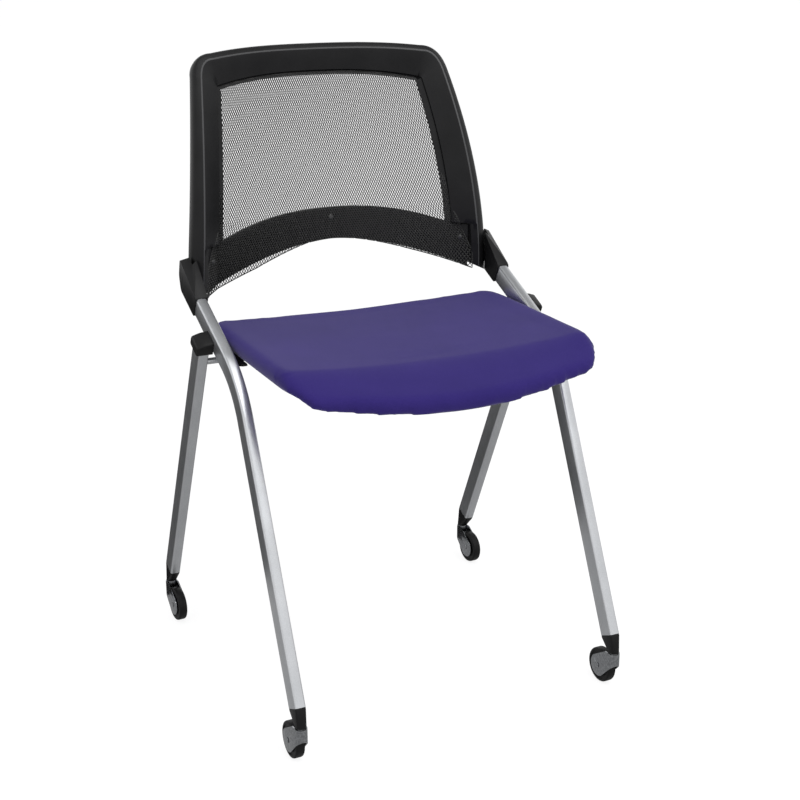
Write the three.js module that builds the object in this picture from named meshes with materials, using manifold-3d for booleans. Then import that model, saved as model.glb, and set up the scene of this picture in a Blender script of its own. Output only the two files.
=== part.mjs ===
// A nesting chair on castors: two bent front tubes that rise into the back, two rear legs outside them,
// a flip-up seat on a cross rod, and a net back in a moulded rail.
// Millimetres, +Z up, the floor at z = 0, the sitter faces -Y, x = 0 is the plane of symmetry of the
// frame and y = 0 the middle of the chair's depth.
import * as THREE from "three";
import { mergeVertices } from "three/addons/utils/BufferGeometryUtils.js";
import Module from "manifold-3d";

const wasm = await Module();
wasm.setup();

// Driving dimensions

// Clearances
const fit = 0.3; // between pieces that touch
const runningGap = 0.1; // radial, between a pin and the bore that turns on it
const overrun = 2; // how far a cut runs past the face it opens
const weld = 1e-4; // points closer than this are one

// Sides of a small pin or bore, and of a wheel
const roundSides = 16;
const wheelSides = 24;

// Tubes of the frame
const tubeWidth = 15;
const tubeDepth = 28;
const tubeWall = 2;
const tubeCorner = 3;
const seatHalfWidth = 225.5;
const seatSideGap = 4.5;
const frontTubeX = seatHalfWidth + seatSideGap + tubeWidth / 2;
const frontLean = THREE.MathUtils.degToRad(25.8);
const uprightRise = THREE.MathUtils.degToRad(24.5);
const kneeY = -60.7;
const kneeZ = 460.3;
const kneeRadius = 135;
const frontFootZ = 78.4;
const sleeveMouthY = 90.2;
const sleeveDepth = 36;
const legGap = 4.8;
const rearLegX = frontTubeX + tubeWidth + legGap;
const rearLean = THREE.MathUtils.degToRad(25.7);
const rearFootY = 229.8;
const rearFootZ = 83.5;

// Leg plugs
const plugSpigot = 26;
const plugBand = 3;
const plugBossRadius = 7.5;
const plugBottomZ = 55.5;
const stemRadius = 4;
const stemReach = 11;

// Castors
const wheelRadius = 25;
const wheelWidth = 13;
const wheelShoulder = 2.5;
const wheelDish = 1.2;
const wheelHubRadius = 7;
const axleRadius = 2.5;
const axleHeadRadius = 4;
const axleHeadHeight = 0.6;
const axleCrownShare = 0.8; // of the head's radius
const castorTrail = 26;
const hoodWall = 1.6;
const hoodSideGap = 0.5;
const hoodTopGap = 0.8; // below the plug that the hood swings under
const hoodShoulder = 9; // from the stem's axis to where the hood's top starts to fall
const hoodNoseHeight = 17;
const hoodArmRadius = 16;
const stemHeadHeight = 12;
const stemChamfer = 0.8;
const castorHeadings = { front_left: 91.2, front_right: 92, rear_left: 273.5, rear_right: 273.6 };

// Knuckles, where a rear leg meets its upright
const knuckleWall = 1.2;
const knuckleOuterWall = 3.4;
const knuckleOuterX = rearLegX + tubeWidth / 2 + knuckleOuterWall;
const knuckleRoundness = 1.5;
const knuckleSkirtZ = 485.5;
const knuckleCrown = 4;
const knuckleDrop = 9;
const knuckleMiddleShare = 0.25; // of the drop, over the leg
const knuckleEdgeShare = 0.7; // of the drop, at the outer edge
const knuckleRound = 4;
const knuckleSocket = 10;

// Cross rod, the axis that the seat tips up on
const rodRadius = 4.5;
const rodY = 45.2;
const rodZ = 465.1;

// Seat
const seatFrontY = -262;
const seatShoulderY = -172.8;
const seatFrontCornerY = -211.8;
const seatRearY = 116.2;
const seatRearCornerY = 100.2;
const seatCornerRadius = 26;
const seatRearCornerRadius = 40;
const seatCrestZ = 507.5;
const seatDish = 12;
const seatEdgeHeight = 11;
const seatEdgeRound = 11;
const seatWaterfall = 25;
const seatSideBottomZ = 484;
const seatLipBottomZ = 447;
const seatLipCornerRise = 26;
const seatBottomZ = 475.8;
const seatHem = 15;
const seatHemLand = 7;
const seatMiddleShares = [0.45, 0.75]; // of the way out, where the front edge's curve is steered
const seatCornerShares = [0.35, 0.45]; // of the corner's radius, how far it is pulled in and back
const topInsetShares = [0, 0.0055, 0.0185, 0.037, 0.065, 0.11, 0.21, 0.37, 0.555]; // of the half width
const underInsetShares = [0.007, 0.021, 0.042, 0.07, 0.14, 0.255, 0.417];

// Seat pan and hinge arms
const panThickness = 4.3;
const panInset = 26.5;
const panCorner = 30;
const panSetback = 38;
const padThickness = 4;
const padHalfWidth = 140;
const padRearY = 20; // forward of the rod, which hangs above the pad's face
const padFrontY = -120;
const armInset = 6; // under the hem of the seat
const armInnerX = seatHalfWidth - armInset;
const armThickness = 6;
const armFrontY = -44.8;
const armRearY = 55.2;
const armSeatGap = 1.6;
const armTopZ = seatSideBottomZ - armSeatGap;
const armFlangeInset = 41.5;
const armFlangeInnerX = seatHalfWidth - armFlangeInset;
const armFlangeFrontY = 16.2;
const armFlangeThickness = 3.2;
const armBarrelRadius = 8.5;
const armBarrelInset = 22.5;
const armBarrelInnerX = seatHalfWidth - armBarrelInset;
const stopPinRadius = 3;
const stopPinY = -10.8;
const stopPinInset = 1;
const stopPinInnerX = armInnerX + stopPinInset;
const stopPinGap = 0.45;

// Back rail, measured on its front ridge
const ridgeFootZ = 597.5;
const ridgeTopZ = 860;
const ridgeInset = 21; // from the tubes' centre lines
const ridgeFootX = frontTubeX - ridgeInset;
const ridgeFootY = 130.3;
const ridgeTaper = 33.2;
const ridgeSweep = 85.6;
const ridgeCornerDrop = 32.5;
const ridgeCornerZ = ridgeTopZ - ridgeCornerDrop;
const ridgeCornerInset = 51.5;
const ridgeTopX = ridgeFootX - ridgeCornerInset;
const ridgeTopY = 244.2;
const ridgeTopBow = 27.5;
const ridgeTopDrop = 6.5;
const railTopLean = THREE.MathUtils.degToRad(30);
const railFootRise = 6.4; // over the middle of the sleeve's mouth
const railBottomSlope = 0.5;
const railSlopeWidth = 30.4;
const railSlopeDepth = 25.5;
const railTopSlopeDepth = 20.1;
const windowTopInset = 31.5;
const windowTopZ = ridgeTopZ - windowTopInset;
const windowTopDrop = 13.5;
const windowTopRecess = 2;
const windowCornerInset = 56.5;
const windowCornerX = ridgeFootX - windowCornerInset;
const windowCornerRound = 2.5;
const railFlank = 17.7;
const railTopFlank = 11.3;
const railDepth = 36;
const railTopDepth = 27;
const railLipThickness = 8;
const railFootLip = 8.5;
const railStepZ = 601;
const railStepRise = 1;

// Net and its crossbar
const netDish = 29;
const netThickness = 1.4;
const netRecess = 2;
const netColumns = 13;
const netRows = 13;
const netBorder = 7;
const netThreadShare = 0.3;
const fringe = 8;
const fringeStart = 60; // from the middle to where the fringe has its full depth
const barHalfWidth = ridgeFootX - railFootLip - fit;
const barTopZ = 632.5;
const barTopFall = 47;
const barBottomZ = 586.5;
const barBottomFall = 57;
const barThickness = 9;
const barChamfer = 2;
const screwRadius = 4.5;
const screwHeight = 2.2;
const screwRimShare = 0.4; // of the height
const screwTopShare = 0.7; // of the radius
const sideScrewInset = 18.5;
const sideScrewShare = 0.65; // of the bar's height
const middleScrewRow = 2; // the row of the net's gaps that the middle screw stands in

// Back brackets, the sleeves that carry the back on the uprights
const sleeveWall = 1.5;
const bracketRise = THREE.MathUtils.degToRad(32.3);
const bracketReach = 80.5;
const bracketHeelReach = 62;
const bracketHeelDepth = 6;
const bracketHeelRise = 21;
const bracketCrestDepth = 14; // how far the crest runs forward and up to the rail
const bracketCrestRise = 8;
const bracketRound = 5;
const bracketRailGap = 1.2;

// Materials

const steel = new THREE.MeshStandardMaterial({ color: "#b9bcc0", roughness: 0.35, metalness: 0.9 });
const castorSteel = new THREE.MeshStandardMaterial({ color: "#8f9296", roughness: 0.3, metalness: 0.9 });
const blackPlastic = new THREE.MeshStandardMaterial({ color: "#1f1f20", roughness: 0.55, metalness: 0 });
const blackTyre = new THREE.MeshStandardMaterial({ color: "#171718", roughness: 0.6, metalness: 0 });
const netYarn = new THREE.MeshStandardMaterial({ color: "#222222", roughness: 0.9, metalness: 0 });
const seatCloth = new THREE.MeshStandardMaterial({ color: "#3f3479", roughness: 0.95, metalness: 0 });

// Geometry helpers

// A geometry as a solid that can be joined and cut.
function solidOf(geometry) {
  const bare = geometry.clone();
  bare.deleteAttribute("normal");
  bare.deleteAttribute("uv");
  const merged = mergeVertices(bare, weld);
  return new wasm.Manifold(
    new wasm.Mesh({
      numProp: 3,
      vertProperties: merged.attributes.position.array,
      triVerts: new Uint32Array(merged.index.array),
    }),
  );
}

function geometryOf(solid) {
  const mesh = solid.getMesh();
  const geometry = new THREE.BufferGeometry();
  geometry.setAttribute("position", new THREE.BufferAttribute(mesh.vertProperties, 3));
  geometry.setIndex(new THREE.BufferAttribute(mesh.triVerts, 1));
  geometry.computeVertexNormals();
  return geometry;
}

function cut(geometry, ...tools) {
  return geometryOf(tools.reduce((solid, tool) => solid.subtract(solidOf(tool)), solidOf(geometry)));
}

function join(...geometries) {
  return geometryOf(geometries.map(solidOf).reduce((a, b) => a.add(b)));
}

// Six times the volume inside an indexed surface, negative when its faces point inwards.
function signedVolume(points, indices) {
  let sum = 0;
  for (let i = 0; i < indices.length; i += 3) {
    const [a, b, c] = [points[indices[i]], points[indices[i + 1]], points[indices[i + 2]]];
    sum += a.dot(new THREE.Vector3().crossVectors(b, c));
  }
  return sum;
}

function indexed(points, indices) {
  const faces = signedVolume(points, indices) < 0 ? indices.slice().reverse() : indices;
  const geometry = new THREE.BufferGeometry().setFromPoints(points);
  geometry.setIndex(faces);
  geometry.computeVertexNormals();
  return geometry;
}

// The triangles that close a flat ring of points, seen along the axis the ring is widest across.
function capOf(ring, first) {
  const box = new THREE.Box3().setFromPoints(ring).getSize(new THREE.Vector3());
  const flat =
    box.x <= box.y && box.x <= box.z
      ? (p) => new THREE.Vector2(p.y, p.z)
      : box.y <= box.z
        ? (p) => new THREE.Vector2(p.z, p.x)
        : (p) => new THREE.Vector2(p.x, p.y);
  return THREE.ShapeUtils.triangulateShape(ring.map(flat), []).map((t) => t.map((i) => i + first));
}

// A closed solid through rings that hold the same number of points.
function loft(rings) {
  const count = rings[0].length;
  const indices = [];
  for (let i = 0; i + 1 < rings.length; i += 1) {
    for (let j = 0; j < count; j += 1) {
      const next = (j + 1) % count;
      const [a, b] = [i * count + j, i * count + next];
      indices.push(a, a + count, b + count, a, b + count, b);
    }
  }
  const wind = new THREE.Vector3();
  const start = capOf(rings[0], 0);
  const end = capOf(rings.at(-1), (rings.length - 1) * count);
  const ringArea = (ring) =>
    ring.reduce((sum, p, j) => sum.add(wind.crossVectors(p, ring[(j + 1) % count])), new THREE.Vector3());
  const faceArea = (faces, offset, ring) =>
    faces.reduce((sum, [a, b, c]) => {
      const [p, q, r] = [ring[a - offset], ring[b - offset], ring[c - offset]];
      return sum.add(q.clone().sub(p).cross(r.clone().sub(p)));
    }, new THREE.Vector3());
  const offset = (rings.length - 1) * count;
  const startTurns = faceArea(start, 0, rings[0]).dot(ringArea(rings[0])) > 0;
  const endTurns = faceArea(end, offset, rings.at(-1)).dot(ringArea(rings.at(-1))) > 0;
  start.forEach(([a, b, c]) => indices.push(...(startTurns ? [a, b, c] : [a, c, b])));
  end.forEach(([a, b, c]) => indices.push(...(endTurns ? [a, c, b] : [a, b, c])));
  return indexed(rings.flat(), indices);
}

// Points of a rounded rectangle, the same number for every size, so that sections can be lofted.
function sectionPoints(width, depth, radius, perCorner = 3) {
  const points = [];
  const corners = [[1, 1], [-1, 1], [-1, -1], [1, -1]];
  corners.forEach(([sx, sy], corner) => {
    for (let i = 0; i <= perCorner; i += 1) {
      const angle = ((corner + i / perCorner) * Math.PI) / 2;
      const x = sx * (width / 2 - radius) + radius * Math.cos(angle);
      const y = sy * (depth / 2 - radius) + radius * Math.sin(angle);
      points.push(new THREE.Vector2(x, y));
    }
  });
  return points;
}

// A near-round section with the same number of points.
function roundPoints(radius, perCorner = 3) {
  const cornerShare = 0.94;
  return sectionPoints(2 * radius, 2 * radius, cornerShare * radius, perCorner);
}

function placeRing(points, origin, across, along) {
  return points.map((p) => origin.clone().addScaledVector(across, p.x).addScaledVector(along, p.y));
}

// A side-view outline, given as (y, z), drawn out along X.
function fromSide(outline, x0, x1, curveSegments = 6) {
  const shape = outline instanceof THREE.Shape ? outline : new THREE.Shape(outline);
  const geometry = new THREE.ExtrudeGeometry(shape, {
    depth: x1 - x0,
    bevelEnabled: false,
    curveSegments,
  });
  const turn = new THREE.Matrix4().makeBasis(
    new THREE.Vector3(0, 1, 0),
    new THREE.Vector3(0, 0, 1),
    new THREE.Vector3(1, 0, 0),
  );
  return geometry.applyMatrix4(turn).translate(x0, 0, 0);
}

// A cylinder that runs along X between two places.
function barAlongX(radius, x0, x1, y, z, sides = roundSides) {
  const bar = new THREE.CylinderGeometry(radius, radius, x1 - x0, sides);
  return bar.rotateZ(Math.PI / 2).translate((x0 + x1) / 2, y, z);
}

// The radius of a many-sided bore whose flats clear a pin.
function boreRadius(pinRadius, clearance, sides = roundSides) {
  return (pinRadius + clearance) / Math.cos(Math.PI / sides);
}

// A polygon with its corners rounded, as a shape.
function roundedOutline(corners, radius) {
  const shape = new THREE.Shape();
  const count = corners.length;
  corners.forEach((corner, i) => {
    const before = corners[(i + count - 1) % count];
    const after = corners[(i + 1) % count];
    const start = corner.clone().add(before.clone().sub(corner).setLength(radius));
    const end = corner.clone().add(after.clone().sub(corner).setLength(radius));
    if (i === 0) shape.moveTo(start.x, start.y);
    else shape.lineTo(start.x, start.y);
    shape.quadraticCurveTo(corner.x, corner.y, end.x, end.y);
  });
  shape.closePath();
  return shape;
}

function mesh(name, geometry, material) {
  const made = new THREE.Mesh(geometry, material);
  made.name = name;
  return made;
}

// The frame

const frontAxis = new THREE.Vector3(0, Math.sin(frontLean), Math.cos(frontLean));
const uprightAxis = new THREE.Vector3(0, Math.cos(uprightRise), Math.sin(uprightRise));
const rearAxis = new THREE.Vector3(0, -Math.sin(rearLean), Math.cos(rearLean));
const knee = new THREE.Vector3(0, kneeY, kneeZ);
const frontFoot = knee.clone().addScaledVector(frontAxis, (frontFootZ - kneeZ) / frontAxis.z);
const sleeveMouth = knee.clone().addScaledVector(uprightAxis, (sleeveMouthY - kneeY) / uprightAxis.y);
const uprightEnd = sleeveMouth.clone().addScaledVector(uprightAxis, sleeveDepth);
const rearFoot = new THREE.Vector3(0, rearFootY, rearFootZ);

// The centre line of a front tube: a straight leg, a bend of constant radius and a straight upright.
class BentTubePath extends THREE.Curve {
  constructor(start, corner, end, radius, bendSteps) {
    super();
    const inward = corner.clone().sub(start).normalize();
    const outward = end.clone().sub(corner).normalize();
    this.turn = inward.angleTo(outward);
    const reach = radius * Math.tan(this.turn / 2);
    this.bendStart = corner.clone().addScaledVector(inward, -reach);
    this.inward = inward;
    this.side = outward.clone().addScaledVector(inward, -outward.dot(inward)).normalize();
    this.outward = outward;
    this.bendEnd = corner.clone().addScaledVector(outward, reach);
    Object.assign(this, { start, end, radius, bendSteps, steps: bendSteps + 2 });
  }

  getUtoTmapping(u) {
    return u;
  }

  angleAt(t) {
    return THREE.MathUtils.clamp((t * this.steps - 1) / this.bendSteps, 0, 1) * this.turn;
  }

  getPoint(t, target = new THREE.Vector3()) {
    const step = t * this.steps;
    if (step <= 1) return target.lerpVectors(this.start, this.bendStart, step);
    if (step >= this.steps - 1) return target.lerpVectors(this.bendEnd, this.end, step - this.steps + 1);
    const angle = this.angleAt(t);
    return target
      .copy(this.bendStart)
      .addScaledVector(this.inward, this.radius * Math.sin(angle))
      .addScaledVector(this.side, this.radius * (1 - Math.cos(angle)));
  }

  getTangent(t, target = new THREE.Vector3()) {
    const angle = this.angleAt(t);
    return target
      .copy(this.inward)
      .multiplyScalar(Math.cos(angle))
      .addScaledVector(this.side, Math.sin(angle));
  }
}

// The hollow section of every frame tube.
function tubeShape() {
  const shape = new THREE.Shape(sectionPoints(tubeWidth, tubeDepth, tubeCorner, 2));
  const bore = sectionPoints(
    tubeWidth - 2 * tubeWall,
    tubeDepth - 2 * tubeWall,
    tubeCorner - tubeWall,
    2,
  );
  shape.holes.push(new THREE.Path(bore));
  return shape;
}

function tubeAlong(path, steps) {
  return new THREE.ExtrudeGeometry(tubeShape(), { steps, extrudePath: path, bevelEnabled: false });
}

function frontTube() {
  const bendSteps = 8;
  const path = new BentTubePath(frontFoot, knee, uprightEnd, kneeRadius, bendSteps);
  return tubeAlong(path, path.steps);
}

// The place where the centre lines of a rear leg and an upright cross in side view.
function crossing() {
  const gap = knee.clone().sub(rearFoot);
  const det = rearAxis.y * uprightAxis.z - rearAxis.z * uprightAxis.y;
  const along = (gap.y * uprightAxis.z - gap.z * uprightAxis.y) / det;
  return rearFoot.clone().addScaledVector(rearAxis, along);
}

const knuckleCentre = crossing();
const rearTop = rearFoot
  .clone()
  .addScaledVector(rearAxis, (knuckleSkirtZ + knuckleSocket - rearFoot.z) / rearAxis.z);

function rearLeg() {
  return tubeAlong(new THREE.LineCurve3(rearFoot, rearTop), 1);
}

// A cap over the top of a rear leg. Its top runs along the upright and falls away outwards.
function knuckleCap() {
  const across = new THREE.Vector3(0, Math.cos(rearLean), Math.sin(rearLean));
  const half = tubeDepth / 2 + knuckleWall;
  const skirt = rearFoot
    .clone()
    .addScaledVector(rearAxis, (knuckleSkirtZ - rearFoot.z) / rearAxis.z);
  const ring = (x, drop, inset) => {
    const corners = [-1, 1].map((side) =>
      skirt.clone().addScaledVector(across, side * (half - inset)).addScaledVector(rearAxis, inset),
    );
    const crown = knuckleCentre.clone();
    crown.z += knuckleCrown - drop;
    const top = corners.map((corner) => {
      const det = rearAxis.y * uprightAxis.z - rearAxis.z * uprightAxis.y;
      const gap = crown.clone().sub(corner);
      const along = (gap.y * uprightAxis.z - gap.z * uprightAxis.y) / det;
      return corner.clone().addScaledVector(rearAxis, along);
    });
    const outline = roundedOutline(
      [corners[0], corners[1], top[1], top[0]].map((p) => new THREE.Vector2(p.y, p.z)),
      knuckleRound - inset,
    );
    return outline.getPoints(3).slice(0, -1).map((p) => new THREE.Vector3(x, p.x, p.y));
  };
  const innerX = frontTubeX + tubeWidth / 2 + fit;
  const body = loft([
    ring(innerX, 0, 0),
    ring(rearLegX, knuckleDrop * knuckleMiddleShare, 0),
    ring(knuckleOuterX - knuckleRoundness, knuckleDrop * knuckleEdgeShare, 0),
    ring(knuckleOuterX, knuckleDrop, knuckleRoundness),
  ]);
  const socketSection = sectionPoints(tubeWidth + 2 * fit, tubeDepth + 2 * fit, tubeCorner + fit, 2);
  const socketRing = (at) =>
    placeRing(socketSection, at.clone().setX(rearLegX), new THREE.Vector3(1, 0, 0), across);
  const socket = loft([
    socketRing(rearFoot),
    socketRing(rearTop.clone().addScaledVector(rearAxis, fit)),
  ]);
  return cut(body, socket);
}

// A plug in the foot of a leg: a spigot inside the tube, then a neck that narrows to a round boss
// over the castor's stem.
function legPlug(foot, axis) {
  const right = new THREE.Vector3(1, 0, 0);
  const deep = new THREE.Vector3().crossVectors(axis, right);
  const boreWidth = tubeWidth - 2 * tubeWall - 2 * fit;
  const boreDepth = tubeDepth - 2 * tubeWall - 2 * fit;
  const spigotCorner = tubeCorner - tubeWall;
  const stem = stemPlace(foot, axis);
  const at = (along) => foot.clone().addScaledVector(axis, along);
  const spigot = sectionPoints(boreWidth, boreDepth, spigotCorner);
  const outer = sectionPoints(tubeWidth, tubeDepth, tubeCorner);
  const body = loft([
    placeRing(spigot, at(plugSpigot), right, deep),
    placeRing(spigot, at(-fit), right, deep),
    placeRing(outer, at(-fit), right, deep),
    placeRing(outer, at(-plugBand), right, deep),
    placeRing(roundPoints(plugBossRadius), stem, right, new THREE.Vector3(0, 1, 0)),
  ]);
  const depth = stemReach + fit + overrun;
  const bore = new THREE.CylinderGeometry(
    boreRadius(stemRadius, runningGap),
    boreRadius(stemRadius, runningGap),
    depth,
    roundSides,
  );
  bore.rotateX(Math.PI / 2).translate(0, stem.y, stem.z - overrun + depth / 2);
  return cut(body, bore);
}

// Where a leg's centre line reaches the bottom of its plug, which is the axis of its castor.
function stemPlace(foot, axis) {
  return foot.clone().addScaledVector(axis, (plugBottomZ - foot.z) / axis.z);
}

// A castor, built with its trail along +X and its stem on the Z axis

const hoodInnerRadius = wheelWidth / 2 + hoodSideGap;
const hoodOuterRadius = hoodInnerRadius + hoodWall;
const hoodTopZ = plugBottomZ - hoodTopGap;

function castorStem() {
  const headRadius = hoodInnerRadius - fit;
  const top = plugBottomZ - fit;
  const bottom = top - stemHeadHeight;
  const profile = [
    [0, bottom],
    [headRadius - stemChamfer, bottom],
    [headRadius, bottom + stemChamfer],
    [headRadius, top],
    [stemRadius, top],
    [stemRadius, plugBottomZ + stemReach - stemChamfer],
    [stemRadius - stemChamfer, plugBottomZ + stemReach],
    [0, plugBottomZ + stemReach],
  ].map(([r, z]) => new THREE.Vector2(r, z));
  return new THREE.LatheGeometry(profile, roundSides).rotateX(Math.PI / 2);
}

// The angle on the hood's rounded end where a line from a point touches it, above or below.
function tangentAngle(x, z, side) {
  const [dx, dz] = [x - castorTrail, z - wheelRadius];
  return Math.atan2(dz, dx) - side * Math.acos(hoodArmRadius / Math.hypot(dx, dz));
}

// A strap bent into a U in plan and trimmed in side view, so that its arms fall from the stem and
// end in a round about the axle.
function castorHood() {
  const armEnd = castorTrail + hoodArmRadius + overrun;
  const bendSteps = 9;
  const plan = new THREE.Shape();
  plan.moveTo(armEnd, hoodOuterRadius);
  plan.lineTo(0, hoodOuterRadius);
  plan.absarc(0, 0, hoodOuterRadius, Math.PI / 2, (3 * Math.PI) / 2, false);
  plan.lineTo(armEnd, -hoodOuterRadius);
  plan.lineTo(armEnd, -hoodInnerRadius);
  plan.lineTo(0, -hoodInnerRadius);
  plan.absarc(0, 0, hoodInnerRadius, (3 * Math.PI) / 2, Math.PI / 2, true);
  plan.lineTo(armEnd, hoodInnerRadius);
  plan.closePath();
  const strap = new THREE.ExtrudeGeometry(plan, {
    depth: hoodTopZ + overrun,
    bevelEnabled: false,
    curveSegments: bendSteps,
  });
  const nose = -hoodOuterRadius - overrun;
  const noseBottom = hoodTopZ - hoodNoseHeight;
  const lower = tangentAngle(-hoodOuterRadius, noseBottom, -1);
  const side = new THREE.Shape();
  side.moveTo(nose, hoodTopZ);
  side.lineTo(hoodShoulder, hoodTopZ);
  const upper = tangentAngle(hoodShoulder, hoodTopZ, 1);
  side.absarc(castorTrail, wheelRadius, hoodArmRadius, upper, lower, true);
  side.lineTo(-hoodOuterRadius, noseBottom);
  side.lineTo(nose, noseBottom);
  side.closePath();
  const trim = new THREE.ExtrudeGeometry(side, {
    depth: 2 * (hoodOuterRadius + overrun),
    bevelEnabled: false,
    curveSegments: bendSteps,
  });
  trim.rotateX(Math.PI / 2).translate(0, hoodOuterRadius + overrun, 0);
  const eye = boreRadius(axleRadius, runningGap);
  const hole = new THREE.CylinderGeometry(eye, eye, 2 * (hoodOuterRadius + overrun), roundSides);
  hole.translate(castorTrail, 0, wheelRadius);
  const shaped = solidOf(strap).intersect(solidOf(trim));
  return geometryOf(shaped.subtract(solidOf(hole)));
}

// The axle is a rivet with a head on each side of the hood.
function castorAxle() {
  const face = hoodOuterRadius + fit;
  const profile = [
    [0, -face - axleHeadHeight],
    [axleHeadRadius * axleCrownShare, -face - axleHeadHeight],
    [axleHeadRadius, -face],
    [axleRadius, -face],
    [axleRadius, face],
    [axleHeadRadius, face],
    [axleHeadRadius * axleCrownShare, face + axleHeadHeight],
    [0, face + axleHeadHeight],
  ].map(([r, y]) => new THREE.Vector2(r, y));
  return new THREE.LatheGeometry(profile, roundSides).translate(castorTrail, 0, wheelRadius);
}

function castorWheel() {
  const half = wheelWidth / 2;
  const bore = boreRadius(axleRadius, runningGap);
  const rim = wheelRadius - wheelShoulder;
  const profile = [
    [bore, -half],
    [wheelHubRadius, -half],
    [wheelHubRadius, -half + wheelDish],
    [rim - wheelDish, -half + wheelDish],
    [rim, -half],
    [wheelRadius, -half + wheelShoulder],
    [wheelRadius, half - wheelShoulder],
    [rim, half],
    [rim - wheelDish, half - wheelDish],
    [wheelHubRadius, half - wheelDish],
    [wheelHubRadius, half],
    [bore, half],
    [bore, -half],
  ].map(([r, y]) => new THREE.Vector2(r, y));
  return new THREE.LatheGeometry(profile, wheelSides).translate(castorTrail, 0, wheelRadius);
}

// The seat

// Front edge of the seat's plan at a distance x from the middle.
function seatFrontAt(x) {
  const share = Math.abs(x) / seatHalfWidth;
  return seatFrontY + (seatFrontCornerY - seatFrontY) * share ** 2.4;
}

function seatOutline(inset, corner) {
  const side = seatHalfWidth - inset;
  const rear = seatRearCornerY - inset;
  const shape = new THREE.Shape();
  shape.moveTo(0, seatFrontY + inset);
  const turnX = side - corner;
  const [nearShare, farShare] = seatMiddleShares;
  const [pullShare, backShare] = seatCornerShares;
  shape.bezierCurveTo(
    turnX * nearShare, seatFrontY + inset,
    turnX * farShare, seatFrontAt(turnX) + inset - corner * pullShare,
    turnX, seatFrontAt(turnX) + inset,
  );
  shape.quadraticCurveTo(
    side, seatFrontCornerY + inset + corner * backShare,
    side, seatShoulderY + corner,
  );
  const rearCorner = corner - seatCornerRadius + seatRearCornerRadius;
  shape.lineTo(side, rear - rearCorner);
  shape.quadraticCurveTo(side, rear, side - rearCorner, rear);
  shape.quadraticCurveTo(side / 2, seatRearY - inset, 0, seatRearY - inset);
  const half = shape.getSpacedPoints(26);
  const mirrored = half.slice(1, -1).reverse().map((p) => new THREE.Vector2(-p.x, p.y));
  return half.concat(mirrored);
}

// How far a place lies down the waterfall: 0 behind the crest, 1 at the front edge.
function waterfallShare(x, y) {
  const share = (seatShoulderY - y) / (seatShoulderY - seatFrontAt(x));
  return THREE.MathUtils.clamp(share, 0, 1);
}

function seatTopZ(x, y) {
  const across = x / seatHalfWidth;
  return seatCrestZ - seatDish * (1 - across ** 2) - seatWaterfall * waterfallShare(x, y) ** 1.7;
}

// The underside is flat over the pan, rises to the hem at the sides and drops to the front lip,
// whose corners are higher than its middle.
function seatUnderZ(x, y, inset) {
  const hem = THREE.MathUtils.clamp(1 - (inset - seatHemLand) / seatHem, 0, 1) ** 2;
  const side = seatBottomZ + (seatSideBottomZ - seatBottomZ) * hem;
  const fall = waterfallShare(x, y) ** 1.4;
  const lip = seatLipBottomZ + seatLipCornerRise * Math.abs(x / seatHalfWidth) ** 2.5;
  return THREE.MathUtils.lerp(side, lip, fall);
}

function seatCushion() {
  const insetsOf = (shares) => shares.map((share) => share * seatHalfWidth);
  const topRing = (inset) =>
    seatOutline(inset, seatCornerRadius).map((p) => {
      const rim = Math.max(0, 1 - inset / seatEdgeRound);
      const drop = seatEdgeHeight * (1 - Math.sqrt(1 - rim ** 2));
      return new THREE.Vector3(p.x, p.y, seatTopZ(p.x, p.y) - drop);
    });
  const underRing = (inset) =>
    seatOutline(inset, seatCornerRadius).map((p) => {
      const rim = Math.max(0, 1 - inset / seatEdgeRound);
      const lift = (seatTopZ(p.x, p.y) - seatEdgeHeight - seatUnderZ(p.x, p.y, 0)) *
        (1 - Math.sqrt(1 - rim ** 2));
      return new THREE.Vector3(p.x, p.y, seatUnderZ(p.x, p.y, inset) + lift);
    });
  return loft([
    ...insetsOf(underInsetShares).map(underRing).reverse(),
    ...insetsOf(topInsetShares).map(topRing),
  ]);
}

// The board under the cushion, with a flat pad below it for whatever is fastened under the seat.
function seatPan() {
  const outline = seatOutline(panInset, panCorner);
  const front = seatShoulderY + panSetback;
  const plan = outline.map((p) => new THREE.Vector2(p.x, Math.max(p.y, front)));
  const unique = plan.filter((p, i) => p.distanceTo(plan[(i + 1) % plan.length]) > fit);
  const top = seatBottomZ - fit;
  const board = new THREE.ExtrudeGeometry(new THREE.Shape(unique), {
    depth: panThickness,
    bevelEnabled: false,
  }).translate(0, 0, top - panThickness);
  const sunk = panThickness / 2;
  const pad = new THREE.BoxGeometry(2 * padHalfWidth, padRearY - padFrontY, padThickness + sunk);
  pad.translate(0, (padRearY + padFrontY) / 2, top - panThickness - (padThickness - sunk) / 2);
  return join(board, pad);
}

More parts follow.
